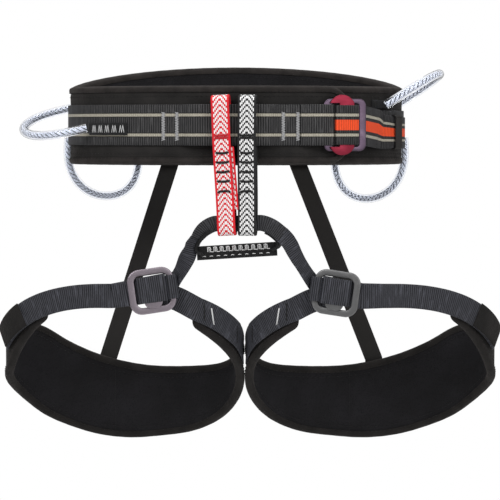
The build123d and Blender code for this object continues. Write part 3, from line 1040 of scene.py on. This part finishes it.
def arc(start, through, end, count):
    """Points on the circle through three flat points."""
    (ax, ay), (bx, by), (cx, cy) = start, through, end
    d = 2 * (ax * (by - cy) + bx * (cy - ay) + cx * (ay - by))
    a2, b2, c2 = ax * ax + ay * ay, bx * bx + by * by, cx * cx + cy * cy
    x = (a2 * (by - cy) + b2 * (cy - ay) + c2 * (ay - by)) / d
    y = (a2 * (cx - bx) + b2 * (ax - cx) + c2 * (bx - ax)) / d
    first = math.atan2(ay - y, ax - x)
    last = math.atan2(cy - y, cx - x)
    mid = math.atan2(by - y, bx - x)
    turn = (last - first) % (2 * math.pi)
    if (mid - first) % (2 * math.pi) > turn:
        turn -= 2 * math.pi
    radius = math.hypot(ax - x, ay - y)
    return [
        (x + radius * math.cos(first + turn * t), y + radius * math.sin(first + turn * t))
        for t in steps(0, 1, count)
    ]


def waist_webbing(seat):
    path = webbing_path(seat)
    band = strap("waist_webbing", path, WEBBING_W, WEBBING_T, BLACK_WEB)
    lines = []
    for x in TACK_X:
        def surface(along, across, x=x):
            return lap_point(x + across, 2 * PLY_GAP + WEBBING_T + 0.05, along)

        lines.append(zigzag(surface, -16, 13, -1.9, 1.9, 17))
    tacks = threads("waist_bartacks", lines, 0.42, GREY_THREAD, sides=5)
    lines = []
    lift = 2 * WEBBING_T + 2 * PLY_GAP + 0.4
    for z in steps(-18, 18, 12):
        lines.append([lap_point(73.5 + dx, lift, z + dz) for dx, dz in ((0, 0), (0.5, 1.0), (0, 2.0))])
    fold_stitches = threads("waist_fold_stitches", lines, 0.35, BLACK_THREAD, sides=5)
    return band, tacks, fold_stitches


def adjust_strap(seat):
    under, turn, over = adjust_path(seat)
    before = len(under) + len(turn)
    total = before + len(over)

    def settle(share):
        """The tail droops a little and gathers in the keeper."""
        run = max(0.0, (share * total - before + 18) / (total - before + 18))
        return Vector((0, 0, -3.0 * min(1.0, run * 1.5)))

    def gather(share):
        run = max(0.0, (share * total - before + 14) / (total - before + 14))
        return 1.0 - 0.2 * min(1.0, run * 1.6)

    path = bend(under + turn + over, settle)
    band = strap("waist_adjust_strap", path, ADJUST_W, STRAP_T, ORANGE_WEB, taper=gather)
    seat_here = Seat(REAR, REAR.point(-20.5).x, -7.6)
    loop = []
    for x, y in rounded_box(3.3, 17.6, 2.4, (3.3, 0), per_corner=6):
        loop.append(seat_here.place(0, x + 0.1, y))
    keeper = strap("waist_keeper", loop + [loop[0]], 14.0, 1.0, ELASTIC, lean=seat_here.u)
    return band, keeper


def waist_buckle(seat):
    outer = rounded_box(24, 27, 7, (1, 0), per_corner=10)
    window = rounded_box(15.35, 22, 2.5, (1.15, 0), per_corner=10)
    ring = plate("waist_buckle_frame", [outer, window], seat, 4.8, 7.8, PURPLE_METAL, 0.8)
    lower = arc((-17, -22.4), (0, -31), (10.5, -23), 30)
    upper = arc((10.5, 23), (0, 31), (-17, 22.4), 30)
    side = [(-6.3, y) for y in (22.4, 12, 0, -12, -22.4)]
    slider = plate("waist_buckle_slider", [lower + upper + side], seat, 8.3, 10.1, RED_METAL, 0.45)
    return ring, slider


# ---------------------------------------------------------------- belay loops and bridge


def belay_loop(colour, material, first_bar):
    """Upright loop of doubled webbing with its end ply and bar tacks."""
    x, lean = LOOPS[colour]
    middle = Vector((x, LOOP_Y, (LOOP_TOP + LOOP_BOTTOM) / 2))
    turn = Matrix.Rotation(math.radians(lean), 3, "Y") @ Matrix.Rotation(math.radians(LOOP_YAW), 3, "Z")
    level = turn @ Vector((1, 0, 0))

    def place(across, depth, z):
        return middle + turn @ Vector((across, depth, z - middle.z))

    radius = (LOOP_DEPTH - LOOP_T) / 2
    high = LOOP_TOP - LOOP_DEPTH / 2
    low = LOOP_BOTTOM + LOOP_DEPTH / 2
    path = [(radius, z) for z in steps(-40, low, 30)]
    half_turn = steps(0, math.pi, 14)[1:-1]
    path += [(radius * math.cos(a), low - radius * math.sin(a)) for a in half_turn]
    path += [(-radius, z) for z in steps(low, high, 60)]
    path += [(-radius * math.cos(a), high + radius * math.sin(a)) for a in half_turn]
    path += [(radius, z) for z in steps(high, -40, 24)]
    points = [place(0.25 * math.sin(z / 17), depth, z) for depth, z in path]
    band = strap("belay_" + colour, points, LOOP_W, LOOP_T, material, lean=level)
    shift = 3.0 if colour == "red" else 0.4
    drift = 0.03 if colour == "red" else 0.0
    ply_path = [place(shift - drift * (z + 24), -3.4, z) for z in steps(-88, -23, 30)]
    ply = strap(f"belay_{colour}_ply", ply_path, LOOP_W - 1, 2.0, material, lean=level)
    front = -LOOP_DEPTH / 2 - 0.2
    lines = []
    for i in range(5):
        z = -29 - 9.7 * i

        def surface(along, across, z=z):
            sag = (0.9 if i < 4 else -0.9) * (along / 6.5) ** 2
            return place(along, front, z + across + sag)

        lines.append(zigzag(surface, -6.6, 6.6, -1.1, 1.1, 11))
    tacks = threads(f"belay_{colour}_tacks", lines, 0.55, BLACK_THREAD, sides=5)

    def top_surface(along, across):
        return place(along, front, -12 + across)

    lines = [zigzag(top_surface, -7, 7, low_edge, low_edge + 2.4, 14) for low_edge in (-2.4, 0.2)]
    first = threads(f"belay_{colour}_top_tack", lines, 0.42, first_bar, sides=5)
    return band, ply, tacks, first


def bridge():
    path = smooth(
        [
            (-41, -120.5, -118.0), (-33, -122.5, -108.0), (-23, -125.3, -102.0),
            (-14, -125.5, BRIDGE_Z), (0, -125.5, BRIDGE_Z), (16, -125.5, BRIDGE_Z),
            (27, -125.5, BRIDGE_Z + 0.6), (38, -123.5, -105.0), (49, -120.5, -113.5),
        ],
        1.5,
    )

    def turn(share):
        """The left end leans back where it goes over into the side strap."""
        return 60 * max(0.0, 1 - share / 0.36) ** 1.4

    band = strap("bridge_strap", path, 16.5, 2.2, BRIDGE_WEB, twist=turn)
    path = [
        (-33, -114.5, -134), (-40, -114.5, -131), (-42.5, -115, -125),
        (-37, -117, -115), (-26, -119.5, -105),
    ]
    lean = Vector((-0.5, 0.85, 0.3))
    left_side = strap("tie_in_side_left", smooth(path, 1.0), 11.5, 3.2, TAB_WEB, lean=lean)
    path = [
        (38, -114.5, -129), (43.5, -114.8, -126), (45, -115.5, -120),
        (38, -117.0, -113), (31, -118.2, -109),
    ]
    lean = Vector((0.45, 0.85, 0.2))
    right_side = strap("tie_in_side_right", smooth(path, 1.0), 10.5, 3.2, TAB_WEB, lean=lean)
    path = [Vector((x, -113.5, -130.4 + 0.06 * x)) for x in steps(-40, 43, 50)]
    bar = strap("tie_in_bar", path, 14.5, 4.2, TAB_WEB)

    def face(x, z):
        return Vector((x, -116.0, z + 0.06 * x))

    lines = []
    for i in range(10):
        x = -29 + 6.5 * i
        for dx in (0, 1.5, 3.0):
            lines.append([face(x + dx, -129.6), face(x + dx + 0.4, -127.2), face(x + dx - 0.2, -124.8)])
        lines.append([face(x - 0.2, -124.9), face(x + 1.6, -124.6), face(x + 3.2, -125.1)])
        lines.append([face(x + 3.0, -129.6), face(x + 4.4, -129.4), face(x + 6.2, -129.7)])
    upper = threads("tie_in_stitches_upper", lines, 0.42, WHITE_THREAD, sides=5)
    lines = []
    for x in steps(-34, 32, 9):
        lines.append([face(x, -134.1), face(x + 1.6, -133.7), face(x + 3.4, -134.1)])
    lower = threads("tie_in_stitches_lower", lines, 0.4, WHITE_THREAD, sides=5)
    return band, left_side, right_side, bar, upper, lower


# ---------------------------------------------------------------- gear loops


def gear_loop(name, start, end, reach):
    """A braided cord in a clear tube, from one sewn end to the other, as a smooth U."""
    middle = (start + end) * 0.5
    half = (start - end) * 0.5
    points = []
    for share in steps(0, 1, 40):
        depth = max(0.0, math.sin(math.pi * share)) ** 0.8
        points.append(middle + half * (math.cos(math.pi * share) * (1 + 0.15 * depth)) + reach * depth)
    path = smooth(points, 1.6)
    tube = rod("gear_tube_" + name, path, TUBE_R, CLEAR, sides=24, bore=TUBE_BORE_R)
    cord = rod("gear_cord_" + name, path, CORD_R, BRAID, sides=20)
    return tube, cord


def gear_tab(name, oval, angle, z, offset, length, height, stitch):
    """A short webbing tab sewn over the end of a gear loop, with a row of stitches."""
    spread = math.degrees(length / 2 / 110)
    path = [oval.point(a, offset + 1.0, z) for a in steps(angle - spread, angle + spread, 24)]
    tab = strap(name, path, height, 1.8, TAB_WEB)

    def surface(along, across):
        return oval.point(angle + spread * along, offset + 2.1, z + across)

    lines = []
    if stitch is WHITE_THREAD:
        for i in range(5):
            share = -0.78 + 0.36 * i
            lines.append(zigzag(surface, share, share + 0.22, -height * 0.3, height * 0.3, 2))
    else:
        for share in (-0.75, 0.75):
            def bar(w, u, share=share):
                return surface(share + 0.07 * u, w)

            lines.append(zigzag(bar, -height * 0.36, height * 0.36, -1, 1, 8))
    radius = 0.27 if stitch is WHITE_THREAD else 0.3
    return [tab, threads(name + "_stitches", lines, radius, stitch, sides=5)]


def gear():
    """All four loops, and the tabs at their ends, by name."""
    found = {}
    rear_ends = ((11, -14), (53, -22))
    for name, side, drop in (("rear_left", -1, -60), ("rear_right", 1, -63)):
        ends = []
        for angle, z in rear_ends:
            end = REAR.point(angle, GEAR_STAND_OFF, z)
            ends.append(Vector((end.x * side, end.y, end.z)))
        found[name] = gear_loop(name, *ends, Vector((0, 0, drop)))
        found[name + "_tabs"] = []
        for number, (angle, z) in enumerate(rear_ends):
            row = (REAR, angle if side > 0 else 180 - angle, z + 6, 0.3, 12, 22, SEAM_THREAD)
            found[name + "_tabs"] += gear_tab(f"gear_tab_{name}_{number}", *row)
    front = {
        "front_left": (
            lap_point(-149, 11.5, -3),
            REAR.point(160, GEAR_STAND_OFF, 20),
            Vector((-62, -2, -14)),
            (LAP, LAP.angle_at(-133), -4, 2.9, 36, 13, WHITE_THREAD),
            (REAR, 160, 20, 0.3, 24, 12, SEAM_THREAD),
        ),
        "front_right": (
            REAR.point(-31, GEAR_STAND_OFF, 21),
            REAR.point(20, GEAR_STAND_OFF, 21),
            Vector((52, -3, 34)),
            (REAR, -31, 22, 0.3, 24, 9, SEAM_THREAD),
            (REAR, 20, 21, 0.3, 24, 12, SEAM_THREAD),
        ),
    }
    for name, (start, end, reach, *rows) in front.items():
        found[name] = gear_loop(name, start, end, reach)
        found[name + "_tabs"] = []
        for number, row in enumerate(rows):
            found[name + "_tabs"] += gear_tab(f"gear_tab_{name}_{number}", *row)
    return found


# ---------------------------------------------------------------- leg loops

LEGS = {
    "left": {
        "centre": 119.5, "half": 127.5, "buckle": 88.0, "buckle_z": -172.0,
        "side": ((40.2, -120.9, -116.8), (44.5, -119.0, -123.5), (51, -115, -139)), "twist": 62.0,
        "riser": (74.0, 142.0), "metal": LILAC_METAL, "seam_x": 134.0,
    },
    "right": {
        "centre": 144.0, "half": 133.5, "buckle": 105.5, "buckle_z": -174.5,
        "side": ((47.5, -121.1, -112.2), (55.5, -118.8, -121.5), (65, -113, -139)), "twist": 0.0,
        "riser": (68.0, 152.0), "metal": GREY_METAL, "seam_x": 124.0,
    },
}


def leg_strap_z(angle):
    """Height of the leg strap's middle, from the buckle down to the pad's outer end."""
    return LEG_STRAP_Z - 42 * max(0.0, (angle + 80) / 60) ** 2


def inner_strap_z(angle):
    """Height of the inner strap's middle, from the buckle down to the inner side."""
    return -183 - 57 * max(0.0, (-108 - angle) / 65) ** 1.5


def stand_off(angle):
    """Clearance of a sloping strap from the pad: more where the ring curves hardest."""
    outer_side = max(0.0, (angle + 50) / 37)
    inner_side = max(0.0, (-130 - angle) / 32)
    return 0.9 + 0.9 * outer_side**2 + 0.8 * inner_side**2


def leg_wall(oval):
    table = smooth([Vector(row) for row in LEG_PAD], 2.0)
    return Wall([(oval, 180 - row.x, row.y, row.z) for row in table])


def leg_pad(oval, seam_x):
    wall = leg_wall(oval)

    def held(s, z, row, outer):
        angle = wall.angle(s)
        if not outer:
            return row in (2, 12)
        under_outer = angle < -5 and abs(z - leg_strap_z(angle)) < 17
        under_inner = angle > 190 and abs(z - inner_strap_z(angle - 360)) < 17
        return under_outer or under_inner

    body = pad("leg_pad", wall, LEG_PAD_T, 14, LEG_COVER, LINING, held, 2.4)
    rim = tape("leg_binding", wall, LEG_PAD_T, 6.5, LEG_BINDING)
    lines = edge_stitches(wall, 5.6, 1.0) + edge_stitches(wall, 5.6, -LEG_PAD_T - 1.0)
    lines += edge_stitches(wall, 11.0, -LEG_PAD_T - 0.35)
    for start, end in ((0.2, 0.5), (0.5, 0.8)):
        s = wall.distance(seam_x, wall.length * start, wall.length * end)
        if abs(wall.at(s, 0).x - seam_x) < 4:
            for z in steps(wall.top(s) - 7, wall.bottom(s) + 7, 26):
                lines.append([wall.at(s, z - drop, -LEG_PAD_T - 0.4) for drop in (0, 1.6)])
    seams = threads("leg_seams", lines, 0.3, SEAM_THREAD, sides=4)
    return body, rim, seams


def leg_straps(oval, seat, sizes):
    under = [oval.point(a, stand_off(a) + 0.9, leg_strap_z(a)) for a in steps(-13, -84, 80)]
    over = [oval.point(a, stand_off(a) + 3.2, leg_strap_z(a)) for a in steps(-84, -20, 74)]
    turn = rounded(
        [
            oval.point(-86, stand_off(-86) + 0.9, leg_strap_z(-86)), seat.place(26, 1.2, 0.5),
            seat.place(-14.4, 1.2, 1.8), seat.place(-14.9, 10.7, 1.8), seat.place(13.8, 10.7, 1.8),
            seat.place(13.8, 3.3, 1.8), seat.place(26, 3.3, 0.5),
            oval.point(-86, stand_off(-86) + 3.2, leg_strap_z(-86)),
        ],
        [12, 2.2, 2.2, 2.0, 2.0, 12],
    )
    leans = [UP] * len(under) + [seat.w] * len(turn) + [UP] * len(over)
    path = under + turn + over

    def fullness(share):
        """The strap bulges a little where it wraps the slider."""
        away = abs(share * len(path) - len(under) - len(turn) * 0.45) / (len(turn) * 0.5)
        return 1.0 + 0.12 * max(0.0, 1 - away**2)

    main = strap("leg_strap", path, LEG_STRAP_W, STRAP_T, LEG_WEB, lean=leans, taper=fullness)
    path = [oval.point(a, stand_off(a) + 5.2, leg_strap_z(a)) for a in steps(-16, -37, 30)]
    keeper = strap("leg_keeper", path, LEG_STRAP_W + 1.5, 1.4, LEG_COVER)
    path = rounded(
        [
            seat.place(-20, 3.2, 1.4), seat.place(-16.9, 3.2, 1.4), seat.place(-16.5, 10.6, 1.4),
            seat.place(-26.8, 9.3, 1.4), seat.place(-26.8, 2.6, 1.4), seat.place(-22.6, 2.6, 1.4),
        ],
        [1.5, 1.9, 3.2, 1.9],
    )
    fixed = strap("leg_fixed_loop", path, LEG_STRAP_W, STRAP_T, LEG_WEB, lean=seat.w)
    inner = []
    for a in steps(-178, -128, 60):
        sink = 3.4 * max(0.0, (-158 - a) / 20)
        inner.append(oval.point(a, stand_off(max(a, -162)) + 0.9 - sink, inner_strap_z(a)))
    inner += smooth([inner[-1], seat.place(-24, -5.0, -12), seat.place(-8, -5.6, -8)], 1.5)[1:]
    inner_band = strap("leg_inner_strap", inner, LEG_STRAP_W, STRAP_T, LEG_WEB)
    side = [Vector(point) for point in sizes["side"]]
    side += [seat.place(-25, -1.6, 6), seat.place(-10, -1.6, 2)]

    def twist(share):
        return sizes["twist"] * math.cos(math.pi * min(0.5, 0.62 * share)) ** 2

    side_band = strap("side_strap", smooth(side, 1.2), 17.0, STRAP_T, LEG_WEB, twist=twist)
    lines = []
    for middle in (-132, -158):
        def surface(along, across, middle=middle):
            angle = middle + across * 0.35
            return oval.point(angle, stand_off(angle) + 2.05, inner_strap_z(angle) + along)

        lines.append(zigzag(surface, -9, 9, -1, 1, 13))
    tacks = threads("leg_bartacks", lines, 0.32, BLACK_THREAD, sides=5)
    marks = []
    for shift in (0.0, 0.45):
        line = []
        for w in (7.5, 3, -3, -8.5):
            a = -137.5 + shift + 0.1 * w
            line.append(oval.point(a, stand_off(a) + 2.15, inner_strap_z(a) + w))
        marks.append(line)
    white = threads("leg_marks", marks, 0.4, WHITE_THREAD, sides=5)
    return main, keeper, fixed, inner_band, side_band, tacks, white


def leg_buckle(seat, metal):
    outer = rounded_box(24.5, 23.5, 13, per_corner=12)
    window = rounded_box(17.5, 16.5, 6, (-0.5, 0), per_corner=12)
    ring = plate("leg_buckle_frame", [outer, window], seat, 4.6, 7.2, metal, 0.75)
    shape = rounded_box(9.7, 15.0, 7, (-0.3, -3.0), per_corner=8)
    slider = plate("leg_buckle_slider", [shape], seat, 7.6, 9.2, metal, 0.4)
    return ring, slider


def leg_riser(oval, top_x, foot_x):
    top_angle = -REAR.angle_at(top_x)
    foot_angle = -oval.angle_at(foot_x)
    top = [REAR.point(top_angle, 1.8, z) for z in steps(-18, -42, 12)]
    foot = [oval.point(foot_angle, 2.2, z) for z in steps(-258, -282, 12)]
    middle = [top[-1].lerp(foot[0], share) for share in steps(0, 1, 90)[1:-1]]
    path = top + middle + foot
    across = []
    for share in steps(0, 1, len(path) - 1):
        normal = REAR.normal(top_angle) * (1 - share) + oval.normal(foot_angle) * share
        across.append(UP.cross(normal))
    band = strap("leg_riser", path, 19.0, 1.6, ELASTIC, lean=across)
    return band, top[-1], foot[0]


def finish_piece(piece, body, slot_name, nodes):
    """Attaches one piece to its body and hides the CAD nodes it replaces; a blended piece has no body
    here. The material slot name is not used.
    """
    if body:
        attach(piece, body)
    if nodes:
        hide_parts(*nodes)


def leg(side, sizes):
    """One leg loop, built on the right and mirrored for the left."""
    body = "leg_" + side
    oval = Oval(sizes["centre"], LEG_Y, sizes["half"], LEG_B)
    seat = Seat(oval, sizes["buckle"], sizes["buckle_z"], droop=8.0)
    cushion, rim, seams = leg_pad(oval, sizes["seam_x"])
    main, keeper, fixed, inner, side_band, tacks, marks = leg_straps(oval, seat, sizes)
    ring, slider = leg_buckle(seat, sizes["metal"])
    riser, riser_top, riser_foot = leg_riser(oval, *sizes["riser"])
    metal_slot = "alloy_purple_grey" if side == "left" else "alloy_grey"
    pieces = (
        (cushion, body, "waist_softshell", ("leg_pad_cover", "leg_pad_foam", "leg_pad_lining")),
        (rim, body, "binding_tape", ("leg_pad_binding",)),
        (seams, body, "thread_black", ()),
        (main, body, "webbing_charcoal", ("leg_strap",)),
        (keeper, body, "elastic_black", ("leg_strap_keeper",)),
        (fixed, body, "webbing_charcoal", ("leg_fixed_loop",)),
        (inner, body, "webbing_charcoal", ("leg_inner_strap",)),
        (side_band, None, "webbing_charcoal", ("side_strap",)),
        (tacks, body, "thread_black", ("leg_bartacks",)),
        (marks, body, "thread_grey", ()),
        (ring, body, metal_slot, ("leg_buckle_frame",)),
        (slider, "leg_slider_" + side, metal_slot, ("leg_buckle_slider",)),
        (riser, None, "elastic_black", ("leg_riser",)),
    )
    flip = Vector((-1 if side == "left" else 1, 1, 1))
    if side == "left":
        mirrored([row[0] for row in pieces])
    for piece, rides_on, slot_name, nodes in pieces:
        piece.name = piece.name + "_" + side
        finish_piece(piece, rides_on, slot_name, [f"{node}_{side}" for node in nodes])
    start, end, top, foot = (
        tuple(Vector(place) * flip * MM)
        for place in (sizes["side"][1], sizes["side"][2], riser_top, riser_foot)
    )
    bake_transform(side_band)
    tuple(start)
    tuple(end)
    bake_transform(riser)
    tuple(top)
    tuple(foot)


# ---------------------------------------------------------------- the whole harness

waist_seat = Seat(LAP, WAIST_BUCKLE_X, 0.0)
belt, belt_rim, belt_seams = waist_pad()
waist_band, waist_tacks, fold_stitches = waist_webbing(waist_seat)
tail, waist_keeper = adjust_strap(waist_seat)
waist_frame, waist_slider = waist_buckle(waist_seat)
bridge_band, tie_left, tie_right, tie_bar, tie_upper, tie_lower = bridge()
gear_pieces = gear()
waist_pieces = (
    (belt, "waist_softshell", ("waist_pad_cover", "waist_pad_foam", "waist_pad_lining")),
    (belt_rim, "binding_tape", ("waist_pad_binding",)),
    (belt_seams, "thread_black", ()),
    (waist_band, "webbing_black", ("waist_webbing_front", "waist_webbing_core")),
    (waist_tacks, "thread_grey", ("waist_bartacks",)),
    (fold_stitches, "thread_black", ()),
    (tail, "webbing_orange", ("waist_adjust_strap",)),
    (waist_keeper, "elastic_black", ("waist_strap_keeper",)),
    (waist_frame, "alloy_purple_grey", ("waist_buckle_frame",)),
    (bridge_band, "webbing_black", ("bridge_strap",)),
    (tie_left, "webbing_black", ()),
    (tie_right, "webbing_black", ()),
    (tie_bar, "webbing_black", ("tie_in_bar",)),
    (tie_upper, "thread_grey", ("tie_in_bartacks",)),
    (tie_lower, "thread_grey", ()),
)
for piece, slot_name, nodes in waist_pieces:
    finish_piece(piece, "waist", slot_name, nodes)
finish_piece(waist_slider, "waist_slider", "alloy_red", ("waist_buckle_slider",))

loop_parts = (
    ("red", RED_LOOP, RED_THREAD, "webbing_red"),
    ("black", BLACK_LOOP, BLACK_THREAD, "webbing_loop_black"),
)
for colour, cloth, top_thread, web_slot in loop_parts:
    band, ply, tacks, top_tack = belay_loop(colour, cloth, top_thread)
    body = "belay_" + colour
    finish_piece(band, body, web_slot, ("belay_loop_" + colour,))
    finish_piece(ply, body, web_slot, (f"belay_loop_{colour}_end_ply",))
    finish_piece(tacks, body, "thread_black", (f"belay_loop_{colour}_bartacks",))
    finish_piece(top_tack, body, "thread_black", ())

for name in ("rear_left", "rear_right", "front_left", "front_right"):
    tube, cord = gear_pieces[name]
    finish_piece(tube, "gear_" + name, "clear_tube", (f"gear_loop_{name}_tube",))
    finish_piece(cord, "gear_" + name, "braided_cord", (f"gear_loop_{name}_cord",))
    for piece in gear_pieces[name + "_tabs"]:
        is_thread = piece.name.endswith("stitches")
        finish_piece(piece, "waist", "thread_grey" if is_thread else "webbing_black", ())
    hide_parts("gear_tab_" + name)

for side_name, side_sizes in LEGS.items():
    leg(side_name, side_sizes)

# ---------------------------------------------------------------- floor, light and camera

bpy.ops.mesh.primitive_plane_add(size=2.0, location=(0, 0, -0.75))
floor = bpy.context.object
floor.name = "floor"
floor.data.materials.append(pale_floor("pale_floor"))

world = bpy.data.worlds.new("studio")
bpy.context.scene.world = world
world.use_nodes = True
world.node_tree.nodes["Background"].inputs["Color"].default_value = (1.0, 1.0, 1.0, 1.0)
seen = world.node_tree.nodes.new("ShaderNodeLightPath")
direct = world.node_tree.nodes.new("ShaderNodeMath")
direct.operation = "MAXIMUM"
level = world.node_tree.nodes.new("ShaderNodeMath")
level.operation = "MULTIPLY_ADD"
level.inputs[1].default_value = 0.55
level.inputs[2].default_value = 0.45
world.node_tree.links.new(seen.outputs["Is Camera Ray"], direct.inputs[0])
world.node_tree.links.new(seen.outputs["Is Transmission Ray"], direct.inputs[1])
world.node_tree.links.new(direct.outputs[0], level.inputs[0])
world.node_tree.links.new(level.outputs[0], world.node_tree.nodes["Background"].inputs["Strength"])


def softbox(name, place, aim, size, power):
    """A large soft light aimed at a point, in metres and watts."""
    lamp = bpy.data.lights.new(name, "AREA")
    lamp.shape = "RECTANGLE"
    lamp.size = size[0]
    lamp.size_y = size[1]
    lamp.energy = power
    obj = bpy.data.objects.new(name, lamp)
    bpy.context.scene.collection.objects.link(obj)
    obj.location = place
    obj.rotation_euler = (Vector(aim) - Vector(place)).to_track_quat("-Z", "Y").to_euler()
    return obj


softbox("key", (-0.9, -1.5, 1.1), (0, 0, -0.1), (1.2, 1.0), 26)
softbox("fill", (1.2, -1.4, 0.5), (0, 0, -0.15), (1.0, 1.2), 16)
softbox("top", (0.1, 0.2, 1.5), (0, 0, -0.1), (1.4, 1.0), 14)

TARGET = Vector((0.015, -0.080, -0.131))
DISTANCE = 2.4
ELEVATION = math.radians(3)
eye = TARGET + Vector((0, -math.cos(ELEVATION), math.sin(ELEVATION))) * DISTANCE
camera_data = bpy.data.cameras.new("camera")
camera_data.sensor_width = 36.0
camera_data.lens = 164.6
camera = bpy.data.objects.new("camera", camera_data)
bpy.context.scene.collection.objects.link(camera)
camera.location = eye
camera.rotation_euler = (TARGET - eye).to_track_quat("-Z", "Y").to_euler()
bpy.context.scene.camera = camera
bpy.context.scene.view_settings.view_transform = "Standard"
